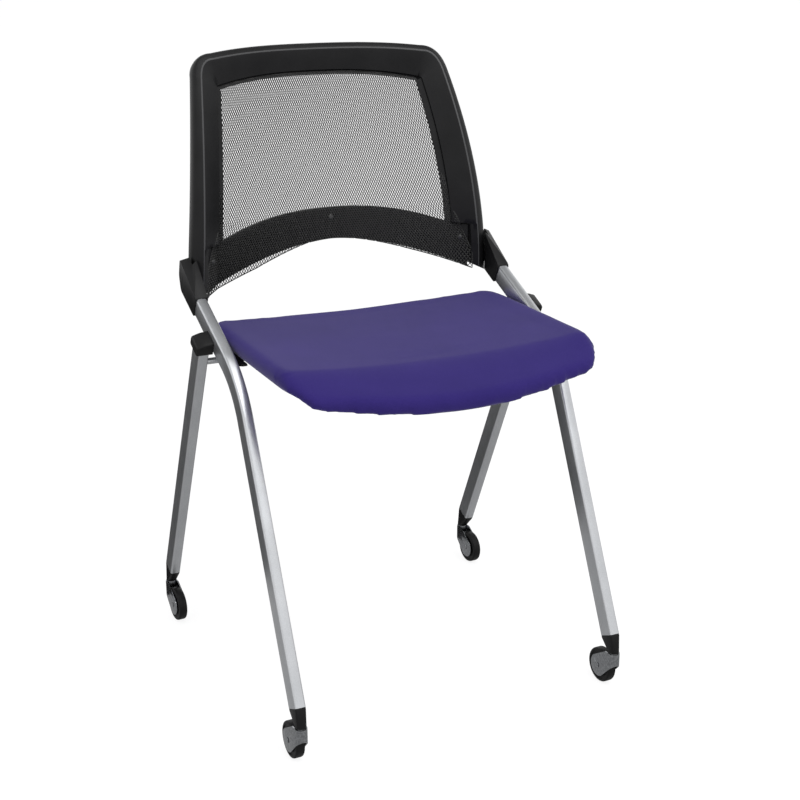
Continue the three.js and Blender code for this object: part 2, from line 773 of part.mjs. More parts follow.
// A hinge arm beside the seat: a tapering plate, a barrel round the rod and a flange under the pan.
function seatArm() {
  const outerX = armInnerX + armThickness;
  const barrelBottom = rodZ - armBarrelRadius;
  const plate = new THREE.Shape();
  plate.moveTo(armFrontY, armTopZ - armThickness / 2);
  plate.lineTo(rodY, barrelBottom);
  plate.absarc(rodY, rodZ, armBarrelRadius, -Math.PI / 2, 0, false);
  plate.lineTo(armRearY, armTopZ - armThickness);
  plate.quadraticCurveTo(armRearY, armTopZ, armRearY - armThickness, armTopZ);
  plate.lineTo(armFrontY, armTopZ);
  plate.closePath();
  const flangeTop = seatBottomZ - fit - panThickness - fit;
  const flange = new THREE.BoxGeometry(
    outerX - armFlangeInnerX,
    armRearY - armFlangeFrontY,
    armFlangeThickness,
  );
  flange.translate(
    (outerX + armFlangeInnerX) / 2,
    (armRearY + armFlangeFrontY) / 2,
    flangeTop - armFlangeThickness / 2,
  );
  const barrel = barAlongX(armBarrelRadius, armBarrelInnerX, outerX, rodY, rodZ);
  const bore = boreRadius(rodRadius, runningGap);
  return cut(
    join(fromSide(plate, armInnerX, outerX), flange, barrel),
    barAlongX(bore, armFlangeInnerX - overrun, outerX + overrun, rodY, rodZ),
  );
}

// The lower edge of a hinge arm, which the stop pin carries.
function armEdgeAt(y) {
  const start = armTopZ - armThickness / 2;
  const end = rodZ - armBarrelRadius;
  return start + ((y - armFrontY) / (rodY - armFrontY)) * (end - start);
}

function stopPin() {
  const z = armEdgeAt(stopPinY) - stopPinRadius - stopPinGap;
  const outer = frontTubeX - tubeWidth / 2 - fit;
  return barAlongX(stopPinRadius, stopPinInnerX, outer, stopPinY, z);
}

function crossRod() {
  const reach = rearLegX - tubeWidth / 2 - fit;
  return barAlongX(rodRadius, -reach, reach, rodY, rodZ);
}

// The back

// Shape of the ridge up a side: shares of the taper and the sweep at a share t of its height.
const ridgeX = (t) => ridgeFootX - ridgeTaper * (0.53 * t + 0.47 * t ** 2);
const ridgeY = (t) => ridgeFootY + ridgeSweep * (0.17 * t + 0.83 * t ** 2);
const heightShare = (z) => (z - ridgeFootZ) / (ridgeTopZ - ridgeFootZ);

function ridgeSidePoint(z) {
  const t = heightShare(z);
  return new THREE.Vector3(ridgeX(t), ridgeY(t), z);
}

function ridgeTopPoint(x) {
  const share = Math.abs(x) / ridgeTopX;
  return new THREE.Vector3(x, ridgeTopY - ridgeTopBow * share ** 2, ridgeTopZ - ridgeTopDrop * share ** 3);
}

// Inner edge of the rail beside the net, at a height on the sides and at a distance along the top.
function windowHalfWidth(z) {
  return ridgeX(heightShare(z)) - railSlopeWidth;
}

function windowEdgeY(z) {
  const t = heightShare(z);
  return ridgeY(t) + THREE.MathUtils.lerp(railSlopeDepth, railTopSlopeDepth, THREE.MathUtils.clamp(t, 0, 1));
}

function windowSidePoint(z) {
  return new THREE.Vector3(windowHalfWidth(z), windowEdgeY(z), z);
}

function windowTopPoint(x) {
  const share = Math.abs(x) / windowCornerX;
  return new THREE.Vector3(x, ridgeTopPoint(x).y + windowTopRecess, windowTopZ - windowTopDrop * share ** 2.6);
}

// One ring of the rail, from the edge of the window over the ridge and the flank to the back.
// Outward turns from sideways to upwards as the rail goes round its corner.
function railRing(ridge, edge, turn) {
  const share = THREE.MathUtils.clamp(heightShare(ridge.z), 0, 1);
  const flank = THREE.MathUtils.lerp(railFlank, railTopFlank, share);
  const depth = THREE.MathUtils.lerp(railDepth, railTopDepth, share);
  const up = Math.sin(turn);
  const lean = railTopLean * up;
  const outward = new THREE.Vector3(Math.cos(turn), up * Math.sin(railTopLean), up * Math.cos(railTopLean));
  const backward = new THREE.Vector3(0, Math.cos(lean), -Math.sin(lean));
  const inward = edge.clone().sub(ridge);
  const deep = inward.dot(backward);
  inward.addScaledVector(backward, -deep);
  const slopeShares = [[1, deep], [0.5, deep * 0.47], [0.06, deep * 0.03]];
  const flankShares = [[0.12, 0], [0.55, 0.09], [0.88, 0.22], [1, 0.4], [0.96, 0.7], [0.72, 0.93], [0.25, 1]];
  const backShares = [[0.55, depth * 0.98], [1, Math.max(deep + railLipThickness, depth * 0.85)]];
  const inner = ([k, b]) => ridge.clone().addScaledVector(inward, k).addScaledVector(backward, b);
  const outer = ([k, b]) =>
    ridge.clone().addScaledVector(outward, k * flank).addScaledVector(backward, b * depth);
  return [...slopeShares.map(inner), ...flankShares.map(outer), ...backShares.map(inner)];
}

// Foot of the rail below the window, where it is only as wide as leaves room for the crossbar.
function railFootRing(z, bottom) {
  const ridge = ridgeSidePoint(z);
  const edge = ridge.clone();
  edge.x -= railFootLip;
  edge.y += (railSlopeDepth * railFootLip) / railSlopeWidth;
  const ring = railRing(ridge, edge, 0);
  if (bottom) {
    ring.forEach((p) => {
      p.z -= railBottomSlope * (p.x - ridgeFootX);
    });
  }
  return ring;
}

const railBottomZ = sleeveMouth.z + railFootRise;

function railHalfRings() {
  const rings = [
    railFootRing(railBottomZ, true),
    railFootRing((railBottomZ + railStepZ) / 2, false),
    railFootRing(railStepZ - railStepRise, false),
  ];
  const windowCornerZ = windowTopPoint(windowCornerX).z;
  const edgeCorner = windowSidePoint(windowCornerZ);
  const sideSteps = 6;
  for (let i = 0; i <= sideSteps; i += 1) {
    const share = i / sideSteps;
    const z = THREE.MathUtils.lerp(railStepZ, ridgeCornerZ, share);
    const edgeZ = THREE.MathUtils.lerp(railStepZ, windowCornerZ - windowCornerRound, share);
    rings.push(railRing(ridgeSidePoint(z), windowSidePoint(edgeZ), 0));
  }
  const from = ridgeSidePoint(ridgeCornerZ);
  const to = ridgeTopPoint(ridgeTopX);
  const rise = from.clone().sub(ridgeSidePoint(ridgeCornerZ - windowCornerRound));
  const corner = from.clone().addScaledVector(rise, (to.z - from.z) / rise.z);
  corner.y = (corner.y + to.y) / 2;
  const bend = new THREE.QuadraticBezierCurve3(from, corner, to);
  const edgeBend = new THREE.QuadraticBezierCurve3(
    windowSidePoint(windowCornerZ - windowCornerRound),
    edgeCorner,
    windowTopPoint(edgeCorner.x - windowCornerRound),
  );
  const cornerSteps = 5;
  for (let i = 1; i <= cornerSteps; i += 1) {
    const share = i / cornerSteps;
    rings.push(railRing(bend.getPoint(share), edgeBend.getPoint(share), (share * Math.PI) / 2));
  }
  const topSteps = 5;
  for (let i = 1; i <= topSteps; i += 1) {
    const share = 1 - i / topSteps;
    const edge = windowTopPoint((edgeCorner.x - windowCornerRound) * share);
    rings.push(railRing(ridgeTopPoint(ridgeTopX * share), edge, Math.PI / 2));
  }
  return rings;
}

function backRail() {
  const half = railHalfRings();
  const mirrored = half
    .slice(0, -1)
    .reverse()
    .map((ring) => ring.map((p) => new THREE.Vector3(-p.x, p.y, p.z)));
  return loft([...half, ...mirrored]);
}

// Where the crossbar's face starts to come forward beside the rail's feet.
const barRampX = windowHalfWidth(railBottomZ);

// Front of the net: dished across the window and leaning back with the rail. Beyond the window it
// comes forward as the rail's slope does.
function netY(x, z) {
  const beyond = Math.max(0, Math.abs(x) - barRampX);
  const dish = netDish * (1 - Math.min(1, Math.abs(x) / windowHalfWidth(z)) ** 2);
  return windowEdgeY(z) + netRecess + dish - (beyond * railSlopeDepth) / railSlopeWidth;
}

// Edges of the crossbar. Under the slopes of the rail its top stays level.
const barTop = (x) =>
  Math.max(
    barTopZ - barTopFall * (Math.abs(x) / ridgeFootX) ** 2.3,
    railStepZ - railStepRise - fit,
  );
const barBottom = (x) => barBottomZ - barBottomFall * (Math.abs(x) / ridgeFootX) ** 1.65;

// Front face of the crossbar, straight from its bottom edge to its top edge.
function barFaceY(x, z) {
  const [top, bottom] = [barTop(x), barBottom(x)];
  const front = (at) => netY(x, at) + netThickness + fit;
  return THREE.MathUtils.lerp(front(bottom), front(top), (z - bottom) / (top - bottom));
}

// The bar behind the foot of the net, arched like the net's lower edge.
function crossbar() {
  const steps = 18;
  const ring = (x) => {
    const [top, bottom] = [barTop(x), barBottom(x)];
    const front = (z) => barFaceY(x, z);
    const chamfer = barChamfer;
    return [
      [front(bottom) + chamfer, bottom],
      [front(bottom), bottom + chamfer],
      [front(top), top - chamfer],
      [front(top) + chamfer, top],
      [front(top) + barThickness, top],
      [front(bottom) + barThickness, bottom],
    ].map(([y, z]) => new THREE.Vector3(x, y, z));
  };
  const rings = [ring(-barHalfWidth)];
  for (let i = 0; i <= steps; i += 1) rings.push(ring(barRampX * ((2 * i) / steps - 1)));
  rings.push(ring(barHalfWidth));
  return loft(rings);
}

// A place on the net, u from side to side and v from its lower edge to the rail above.
function netPoint(u, v, back) {
  const reach = windowHalfWidth(ridgeFootZ);
  const apart = Math.min(1, Math.abs(u * reach) / fringeStart);
  const low = barBottom(u * reach) - fringe * apart ** 2 * (1 - u ** 6);
  const top = windowTopPoint(u * windowCornerX);
  const underRail = (netRecess + netThickness) * Math.tan(railTopLean);
  const high = top.z - fit - underRail - windowCornerRound * u ** 8;
  const z = THREE.MathUtils.lerp(low, high, v);
  const x = u * (windowHalfWidth(z) - fit);
  const barShare = (barTop(u * reach) - low) / (high - low);
  const above = Math.max(0, (v - barShare) / (1 - barShare));
  const y = THREE.MathUtils.lerp(netY(x, z), top.y + netRecess, above ** 3);
  return new THREE.Vector3(x, y + back * netThickness, z);
}

// The lines of a strand grid from start to end, with a border of its own width at each end.
function gridLines(start, end, border, cells) {
  const lines = [start];
  for (let i = 0; i <= cells; i += 1) {
    lines.push(THREE.MathUtils.lerp(start + border, end - border, i / cells));
  }
  return [...lines, end];
}

const netColumnLines = gridLines(-1, 1, netBorder / windowHalfWidth(ridgeFootZ), netColumns);
const netRowLines = gridLines(0, 1, netBorder / (ridgeTopZ - barBottomZ), netRows);

// The net as a grid of strands with an open gap in each cell, following the dish of the back.
function netPanel() {
  return gridWithGaps(netColumnLines, netRowLines, netPoint);
}

// A sheet over a grid of (u, v) lines with a rectangular gap in every cell but the border ones.
function gridWithGaps(us, vs, place) {
  const points = [];
  const indices = [];
  const index = new Map();
  const vertex = (u, v, back) => {
    const key = [u, v, back].map((n) => n.toFixed(6)).join();
    if (!index.has(key)) {
      index.set(key, points.length);
      points.push(place(u, v, back));
    }
    return index.get(key);
  };
  const quad = (a, b, c, d) => indices.push(a, b, c, a, c, d);
  const corners = (u0, u1, v0, v1, back) => [
    vertex(u0, v0, back), vertex(u1, v0, back), vertex(u1, v1, back), vertex(u0, v1, back),
  ];
  for (let i = 0; i + 1 < us.length; i += 1) {
    for (let j = 0; j + 1 < vs.length; j += 1) {
      const [u0, u1, v0, v1] = [us[i], us[i + 1], vs[j], vs[j + 1]];
      const front = corners(u0, u1, v0, v1, 0);
      const rear = corners(u0, u1, v0, v1, 1);
      const onBorder = i === 0 || j === 0 || i + 2 === us.length || j + 2 === vs.length;
      if (onBorder) {
        quad(...front);
        quad(...rear.slice().reverse());
      } else {
        const du = ((u1 - u0) * netThreadShare) / 2;
        const dv = ((v1 - v0) * netThreadShare) / 2;
        const frontGap = corners(u0 + du, u1 - du, v0 + dv, v1 - dv, 0);
        const rearGap = corners(u0 + du, u1 - du, v0 + dv, v1 - dv, 1);
        for (let k = 0; k < 4; k += 1) {
          const n = (k + 1) % 4;
          quad(front[k], front[n], frontGap[n], frontGap[k]);
          quad(rear[n], rear[k], rearGap[k], rearGap[n]);
          quad(frontGap[k], frontGap[n], rearGap[n], rearGap[k]);
        }
      }
      if (j === 0) quad(front[1], front[0], rear[0], rear[1]);
      if (j + 2 === vs.length) quad(front[3], front[2], rear[2], rear[3]);
      if (i === 0) quad(front[0], front[3], rear[3], rear[0]);
      if (i + 2 === us.length) quad(front[2], front[1], rear[1], rear[2]);
    }
  }
  return indexed(points, indices);
}

// A bracket: a sleeve over an upright's end. Its outer half goes on as a cheek beside the rail's
// foot, with a top that rises to the rail.
function backBracket() {
  const right = new THREE.Vector3(1, 0, 0);
  const deepAxis = new THREE.Vector3(0, -uprightAxis.z, uprightAxis.y);
  const half = tubeDepth / 2 + sleeveWall;
  const rise = new THREE.Vector3(0, Math.cos(bracketRise), Math.sin(bracketRise));
  const brow = sleeveMouth.clone().addScaledVector(deepAxis, half);
  const chin = sleeveMouth.clone().addScaledVector(deepAxis, -half);
  const heel = chin.clone().addScaledVector(uprightAxis, bracketHeelReach);
  const back = heel.clone().add(new THREE.Vector3(0, bracketHeelDepth, bracketHeelRise));
  const crest = brow.clone().addScaledVector(rise, bracketReach);
  const nearRail = crest.clone().add(new THREE.Vector3(0, -bracketCrestDepth, bracketCrestRise));
  const ring = (x, top) =>
    roundedOutline([brow, chin, heel, back, top].map((p) => new THREE.Vector2(p.y, p.z)), bracketRound)
      .getPoints(3)
      .slice(0, -1)
      .map((p) => new THREE.Vector3(x, p.x, p.y));
  const outerX = frontTubeX + tubeWidth / 2 + sleeveWall;
  const innerX = frontTubeX - tubeWidth / 2 - sleeveWall;
  const body = loft([ring(innerX, nearRail), ring(outerX, crest)]);
  const section = sectionPoints(tubeWidth + 2 * fit, tubeDepth + 2 * fit, tubeCorner + fit, 2);
  const socketRing = (at) => placeRing(section, at.clone().setX(frontTubeX), right, deepAxis);
  const socket = loft([
    socketRing(sleeveMouth.clone().addScaledVector(uprightAxis, -overrun)),
    socketRing(uprightEnd.clone().addScaledVector(uprightAxis, fit)),
  ]);
  const frontY = ridgeFootY - bracketRailGap;
  const rearY = back.y + overrun;
  const notchRing = (z) => {
    const outer = ridgeX(heightShare(z)) + railFlank + 2 * fit;
    const inner = innerX - overrun;
    return [[inner, frontY], [outer, frontY], [outer, rearY], [inner, rearY]].map(
      ([x, y]) => new THREE.Vector3(x, y, z),
    );
  };
  const notch = loft([notchRing(chin.z - overrun), notchRing(nearRail.z + overrun)]);
  return cut(body, socket, notch);
}

// A low round screw head, with its seat at the origin and its top towards -Y.
function screwHead() {
  const profile = [
    [0, 0],
    [screwRadius, 0],
    [screwRadius, screwHeight * screwRimShare],
    [screwRadius * screwTopShare, screwHeight],
    [0, screwHeight],
  ].map(([r, h]) => new THREE.Vector2(r, h));
  return new THREE.LatheGeometry(profile, roundSides).rotateX(Math.PI);
}

// Assembly

const chair = new THREE.Group();
chair.name = "nesting_chair";
const sides = { left: -1, right: 1 };

function addPair(name, geometry, material, x = 0) {
  for (const [side, sign] of Object.entries(sides)) {
    const mirrored = geometry.clone();
    if (sign < 0 && x === 0) mirrored.scale(-1, 1, 1);
    const piece = mesh(`${name}_${side}`, sign < 0 && x === 0 ? turnedOut(mirrored) : mirrored, material);
    piece.position.x = sign * x;
    chair.add(piece);
  }
}

// A mirrored geometry with its faces turned to point out again.
function turnedOut(geometry) {
  const source = geometry.index ? geometry : mergeVertices(geometry);
  const faces = source.index.array;
  for (let i = 0; i < faces.length; i += 3) {
    [faces[i + 1], faces[i + 2]] = [faces[i + 2], faces[i + 1]];
  }
  source.computeVertexNormals();
  return source;
}

addPair("front_tube", frontTube(), steel, frontTubeX);
addPair("rear_leg", rearLeg(), steel, rearLegX);
addPair("knuckle_cap", knuckleCap(), blackPlastic);
chair.add(mesh("cross_rod", crossRod(), steel));
addPair("seat_arm", seatArm(), blackPlastic);
addPair("stop_pin", stopPin(), blackPlastic);
chair.add(mesh("seat_pan", seatPan(), blackPlastic));
chair.add(mesh("seat_cushion", seatCushion(), seatCloth));
chair.add(mesh("back_rail", backRail(), blackPlastic));
chair.add(mesh("back_crossbar", crossbar(), blackPlastic));
chair.add(mesh("back_net", netPanel(), netYarn));
addPair("back_bracket", backBracket(), blackPlastic);

const legs = {
  front: { foot: frontFoot, axis: frontAxis, x: frontTubeX },
  rear: { foot: rearFoot, axis: rearAxis, x: rearLegX },
};
for (const [end, { foot, axis, x }] of Object.entries(legs)) {
  for (const [side, sign] of Object.entries(sides)) {
    const place = `${end}_${side}`;
    const plug = mesh(`leg_plug_${place}`, legPlug(foot, axis), blackPlastic);
    plug.position.x = sign * x;
    chair.add(plug);
    const castor = new THREE.Group();
    castor.position.set(sign * x, stemPlace(foot, axis).y, 0);
    castor.rotation.z = THREE.MathUtils.degToRad(castorHeadings[place]);
    castor.add(mesh(`castor_stem_${place}`, castorStem(), castorSteel));
    castor.add(mesh(`castor_hood_${place}`, castorHood(), castorSteel));
    castor.add(mesh(`castor_axle_${place}`, castorAxle(), castorSteel));
    castor.add(mesh(`castor_wheel_${place}`, castorWheel(), blackTyre));
    chair.add(castor);
  }
}

const sideScrewX = ridgeFootX - sideScrewInset;
const sideScrewZ = THREE.MathUtils.lerp(barBottom(sideScrewX), barTop(sideScrewX), sideScrewShare);
const middleRowLines = netRowLines.slice(middleScrewRow, middleScrewRow + 2);
const middleScrewZ = netPoint(0, (middleRowLines[0] + middleRowLines[1]) / 2, 0).z;
const screwPlaces = {
  left: [-sideScrewX, sideScrewZ],
  middle: [0, middleScrewZ],
  right: [sideScrewX, sideScrewZ],
};
for (const [name, [x, z]] of Object.entries(screwPlaces)) {
  const screw = mesh(`back_screw_${name}`, screwHead(), castorSteel);
  const slopeX = (barFaceY(x + screwRadius, z) - barFaceY(x - screwRadius, z)) / (2 * screwRadius);
  const slopeZ = (barFaceY(x, z + screwRadius) - barFaceY(x, z - screwRadius)) / (2 * screwRadius);
  const outward = new THREE.Vector3(slopeX, -1, slopeZ).normalize();
  screw.quaternion.setFromUnitVectors(new THREE.Vector3(0, -1, 0), outward);
  screw.position.set(x, barFaceY(x, z), z).addScaledVector(outward, fit);
  chair.add(screw);
}

export default chair;
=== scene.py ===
# %% [markdown]
# # A nesting chair on castors
# The chair has silver tube legs, a violet upholstered seat that tips up, and a black back with a net
# in a moulded rail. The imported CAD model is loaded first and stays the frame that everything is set
# on. Lengths are in millimetres in the CAD's own frame and turn into metres when a mesh is placed.

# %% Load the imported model
import math

import bmesh
import bpy
from mathutils import Matrix, Vector


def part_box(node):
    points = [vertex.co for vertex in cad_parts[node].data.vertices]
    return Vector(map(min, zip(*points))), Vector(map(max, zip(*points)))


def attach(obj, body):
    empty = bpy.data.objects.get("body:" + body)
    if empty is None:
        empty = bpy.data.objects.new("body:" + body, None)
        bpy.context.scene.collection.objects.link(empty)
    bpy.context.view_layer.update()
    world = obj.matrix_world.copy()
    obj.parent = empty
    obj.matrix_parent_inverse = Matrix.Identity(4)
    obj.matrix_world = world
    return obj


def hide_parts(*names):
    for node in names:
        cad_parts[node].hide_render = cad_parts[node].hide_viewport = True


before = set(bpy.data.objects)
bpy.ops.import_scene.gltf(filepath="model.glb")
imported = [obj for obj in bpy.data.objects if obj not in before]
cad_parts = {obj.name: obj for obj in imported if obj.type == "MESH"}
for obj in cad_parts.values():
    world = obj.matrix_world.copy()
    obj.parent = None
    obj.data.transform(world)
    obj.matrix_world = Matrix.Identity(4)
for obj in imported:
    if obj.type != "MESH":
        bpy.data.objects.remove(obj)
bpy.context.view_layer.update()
MM = 0.001
SIDES = {"left": -1, "right": 1}
ENDS = ("front", "rear")

# %% [markdown]
# ## Camera and light
# The camera's place comes from lines on the chair that mirror each other. A long lens at the height
# of a standing person looks down on the seat. The background is white for the camera and for
# reflections only, so the light on the chair stays plain and its colours show as they are written.

# %% Camera
CAMERA_AZIMUTH = math.radians(-25.32)
CAMERA_ELEVATION = math.radians(18.2)
CAMERA_DISTANCE = 2.0497
CAMERA_TARGET = Vector((0, -0.0519, 0.4034))
CAMERA_LENS = 66.17
SENSOR = 36


def towards(azimuth, elevation):
    """The unit vector from the target towards a viewer."""
    return Vector((
        math.sin(azimuth) * math.cos(elevation),
        -math.cos(azimuth) * math.cos(elevation),
        math.sin(elevation),
    ))


def facing(direction):
    """The rotation that points a camera or a lamp against a direction."""
    return direction.to_track_quat("Z", "Y").to_euler()


view = towards(CAMERA_AZIMUTH, CAMERA_ELEVATION)
bpy.ops.object.camera_add(location=CAMERA_TARGET + view * CAMERA_DISTANCE, rotation=facing(view))
camera = bpy.context.object
camera.data.sensor_width = SENSOR
camera.data.lens = CAMERA_LENS
camera.data.clip_end = 100
bpy.context.scene.camera = camera
bpy.context.scene.view_settings.view_transform = "Standard"
print("camera at", [round(v, 3) for v in camera.location])


# %% One node at a time
def linear(hex_colour):
    """An sRGB hex colour as the linear values that shaders work with."""
    parts = [int(hex_colour[i:i + 2], 16) / 255 for i in (1, 3, 5)]
    return [c / 12.92 if c <= 0.04045 else ((c + 0.055) / 1.055) ** 2.4 for c in parts] + [1]


def feed(tree, node, **links):
    """Fills sockets, named with underscores for spaces or as _ and their number, by link or value."""
    for name, value in links.items():
        key = int(name[1:]) if name[0] == "_" else name.replace("_", " ")
        socket = node.inputs[key]
        if isinstance(value, bpy.types.NodeSocket):
            tree.links.new(value, socket)
        else:
            socket.default_value = value


def add_node(tree, kind, settings=None, stops=(), **links):
    """Adds a node with its settings, a ramp's stops as places and hex colours, its links and values."""
    node = tree.nodes.new(kind)
    for name, value in (settings or {}).items():
        setattr(node, name, value)
    for _ in range(len(stops) - 2):
        node.color_ramp.elements.new(0.5)
    for index, (place, colour) in enumerate(stops):
        node.color_ramp.elements[index].position = place
        node.color_ramp.elements[index].color = linear(colour)
    feed(tree, node, **links)
    return node


# %% World and lamps
AMBIENT = 0.58
world = bpy.data.worlds.new("studio")
bpy.context.scene.world = world
world.use_nodes = True
tree = world.node_tree
tree.nodes.clear()
path = add_node(tree, "ShaderNodeLightPath").outputs
seen = add_node(tree, "ShaderNodeMath", {"operation": "MAXIMUM"}, _0=path["Is Camera Ray"],
                _1=path["Is Glossy Ray"])
seen = add_node(tree, "ShaderNodeMath", {"operation": "MAXIMUM"}, _0=seen.outputs[0],
                _1=path["Is Transmission Ray"])
soft = add_node(tree, "ShaderNodeBackground", Color=linear("#ffffff"), Strength=AMBIENT)
white = add_node(tree, "ShaderNodeBackground", Color=linear("#ffffff"), Strength=1)
both = add_node(tree, "ShaderNodeMixShader", Fac=seen.outputs[0], _1=soft.outputs[0],
                _2=white.outputs[0])
add_node(tree, "ShaderNodeOutputWorld", Surface=both.outputs[0])


def lamp(name, azimuth, elevation, distance, size, watts):
    """A square area lamp that looks at the middle of the chair."""
    direction = towards(math.radians(azimuth), math.radians(elevation))
    place = CAMERA_TARGET + direction * distance
    bpy.ops.object.light_add(type="AREA", location=place, rotation=facing(direction))
    light = bpy.context.object
    light.name = name
    light.data.shape = "SQUARE"
    light.data.size = size
    light.data.energy = watts
    return light


lamp("key", 14, 52, 2.6, 1.6, 24)
lamp("top", -20, 82, 2.4, 1.8, 16)

# %% [markdown]
# The floor is plain, pale and matt. To the camera it glows a little towards the background's white,
# but not so much that the chair's shadow on it is lost.

# %% Floor
FLOOR_SIZE = 60
FLOOR_GLOW_SHARE = 0.75
FLOOR_GLOW = 1.17
bpy.ops.mesh.primitive_plane_add(size=FLOOR_SIZE, location=(0, 0, 0))
floor = bpy.context.object
floor.name = "floor"

floor_finish = bpy.data.materials.new("pale_matt_floor")
floor_finish.use_nodes = True
tree = floor_finish.node_tree
tree.nodes.clear()
path = add_node(tree, "ShaderNodeLightPath").outputs
seen = add_node(tree, "ShaderNodeMath", {"operation": "MAXIMUM"}, _0=path["Is Camera Ray"],
                _1=path["Is Glossy Ray"])
share = add_node(tree, "ShaderNodeMath", {"operation": "MULTIPLY"}, _0=seen.outputs[0],
                 _1=FLOOR_GLOW_SHARE)
matt = add_node(tree, "ShaderNodeBsdfDiffuse", Color=linear("#f2f2f3"))
glow = add_node(tree, "ShaderNodeEmission", Color=linear("#ffffff"), Strength=FLOOR_GLOW)
both = add_node(tree, "ShaderNodeMixShader", Fac=share.outputs[0], _1=matt.outputs[0],
                _2=glow.outputs[0])
add_node(tree, "ShaderNodeOutputMaterial", Surface=both.outputs[0])
floor.data.materials.append(floor_finish)
print("made", floor.name, "with", floor_finish.name)


# %% [markdown]
# Bare metal shows what stands round it. A photographer sets dark cards beside it, out of the picture,
# so that one face of a tube reflects white and the next a dark card, which draws the edge between
# them. These cards are seen by reflections alone: they shade nothing and no camera sees them.

# %% Dark cards for the metal
def card(name, centre, size, direction, tone):
    """A flat card of one grey that only reflections see."""
    bpy.ops.mesh.primitive_plane_add(size=1, location=centre, rotation=facing(Vector(direction)))
    made = bpy.context.object
    made.name = name
    made.scale = (size[0], size[1], 1)
    paint = bpy.data.materials.new(name + "_paint")
    paint.use_nodes = True
    tree = paint.node_tree
    tree.nodes.clear()
    grey = add_node(tree, "ShaderNodeEmission", Color=linear("#ffffff"), Strength=tone)
    add_node(tree, "ShaderNodeOutputMaterial", Surface=grey.outputs[0])
    made.data.materials.append(paint)
    for ray in ("camera", "diffuse", "transmission", "volume_scatter", "shadow"):
        setattr(made, "visible_" + ray, False)
    print("made", name)


card("floor_card_behind", (-1.2, 1.9, 0.002), (5.6, 3.2), (0, 0, 1), 0.03)
card("floor_card_front", (0.6, -1.15, 0.002), (4, 2.9), (0, 0, 1), 0.4)
card("card_overhead", (0.4, 1.3, 3.2), (4, 3), (0, 0, -1), 0.25)

# %% [markdown]
# ## Finishes
# Every finish starts from the stuff itself. Patterns read Object coordinates, so they sit in the
# piece at a real size and move with it.

# %% A material's common start
def finish(name):
    """An empty principled material and the coordinates that its patterns read."""
    material = bpy.data.materials.new(name)
    material.use_nodes = True
    tree = material.node_tree
    tree.nodes.clear()
    shader = add_node(tree, "ShaderNodeBsdfPrincipled")
    add_node(tree, "ShaderNodeOutputMaterial", Surface=shader.outputs[0])
    place = add_node(tree, "ShaderNodeTexCoord").outputs["Object"]
    print("finish", name)
    return material, tree, shader, place


def repeats(size_mm):
    """A noise scale whose features are about this many millimetres across."""
    return 1 / (size_mm * MM)


def bands(period_mm):
    """A wave scale whose bands are this many millimetres apart."""
    return 2 * math.pi / (20 * period_mm * MM)


# %% [markdown]
# The tubes are steel with a satin silver coat: fine metal flake in a clear binder. That gives a soft,
# wide highlight on the domed faces and a slightly grainy look, with no brushed lines.

# %% Satin silver coated steel
steel, tree, shader, place = finish("satin_silver_coated_steel")
flake = add_node(tree, "ShaderNodeTexNoise", Vector=place, Scale=repeats(0.9), Detail=2)
cloudy = add_node(tree, "ShaderNodeTexNoise", Vector=place, Scale=repeats(60), Detail=3)
mixed = add_node(tree, "ShaderNodeMix", {"data_type": "FLOAT"}, Factor=0.35,
                 _2=flake.outputs[0], _3=cloudy.outputs[0])
colour = add_node(tree, "ShaderNodeValToRGB", Fac=mixed.outputs[0],
                  stops=((0.3, "#b8babd"), (0.7, "#d3d5d8")))
rough = add_node(tree, "ShaderNodeMapRange", Value=cloudy.outputs[0], To_Min=0.25, To_Max=0.34)
relief = add_node(tree, "ShaderNodeBump", Height=flake.outputs[0], Strength=0.35, Distance=0.02 * MM)
feed(tree, shader, Base_Color=colour.outputs[0], Roughness=rough.outputs[0],
     Normal=relief.outputs[0], Metallic=0.85)

# %% Bright zinc on the castors
zinc, tree, shader, place = finish("bright_zinc_plated_steel")
cloudy = add_node(tree, "ShaderNodeTexNoise", Vector=place, Scale=repeats(3), Detail=4)
colour = add_node(tree, "ShaderNodeValToRGB", Fac=cloudy.outputs[0],
                  stops=((0.35, "#8b8d90"), (0.7, "#adafb2")))
rough = add_node(tree, "ShaderNodeMapRange", Value=cloudy.outputs[0], To_Min=0.16, To_Max=0.26)
grain = add_node(tree, "ShaderNodeTexNoise", Vector=place, Scale=repeats(0.6), Detail=2)
relief = add_node(tree, "ShaderNodeBump", Height=grain.outputs[0], Strength=0.3, Distance=0.02 * MM)
feed(tree, shader, Base_Color=colour.outputs[0], Roughness=rough.outputs[0],
     Normal=relief.outputs[0], Metallic=1)


# %% [markdown]
# The back and the small mouldings are black polypropylene and nylon from a spark-eroded mould. The
# mould leaves a fine leathery grain that breaks the highlight up and keeps it soft. Along the crisp
# edge of the rail's ridge a pale line is painted in, a painted highlight for the light that this edge
# catches: a mesh says where that is with an attribute, and meshes without it have no such line.

# %% Moulded black plastics
# The attribute that marks where a pale line of painted highlight goes along the rail's ridge.
PAINTED_HIGHLIGHT_ATTRIBUTE = "painted_ridge_highlight"


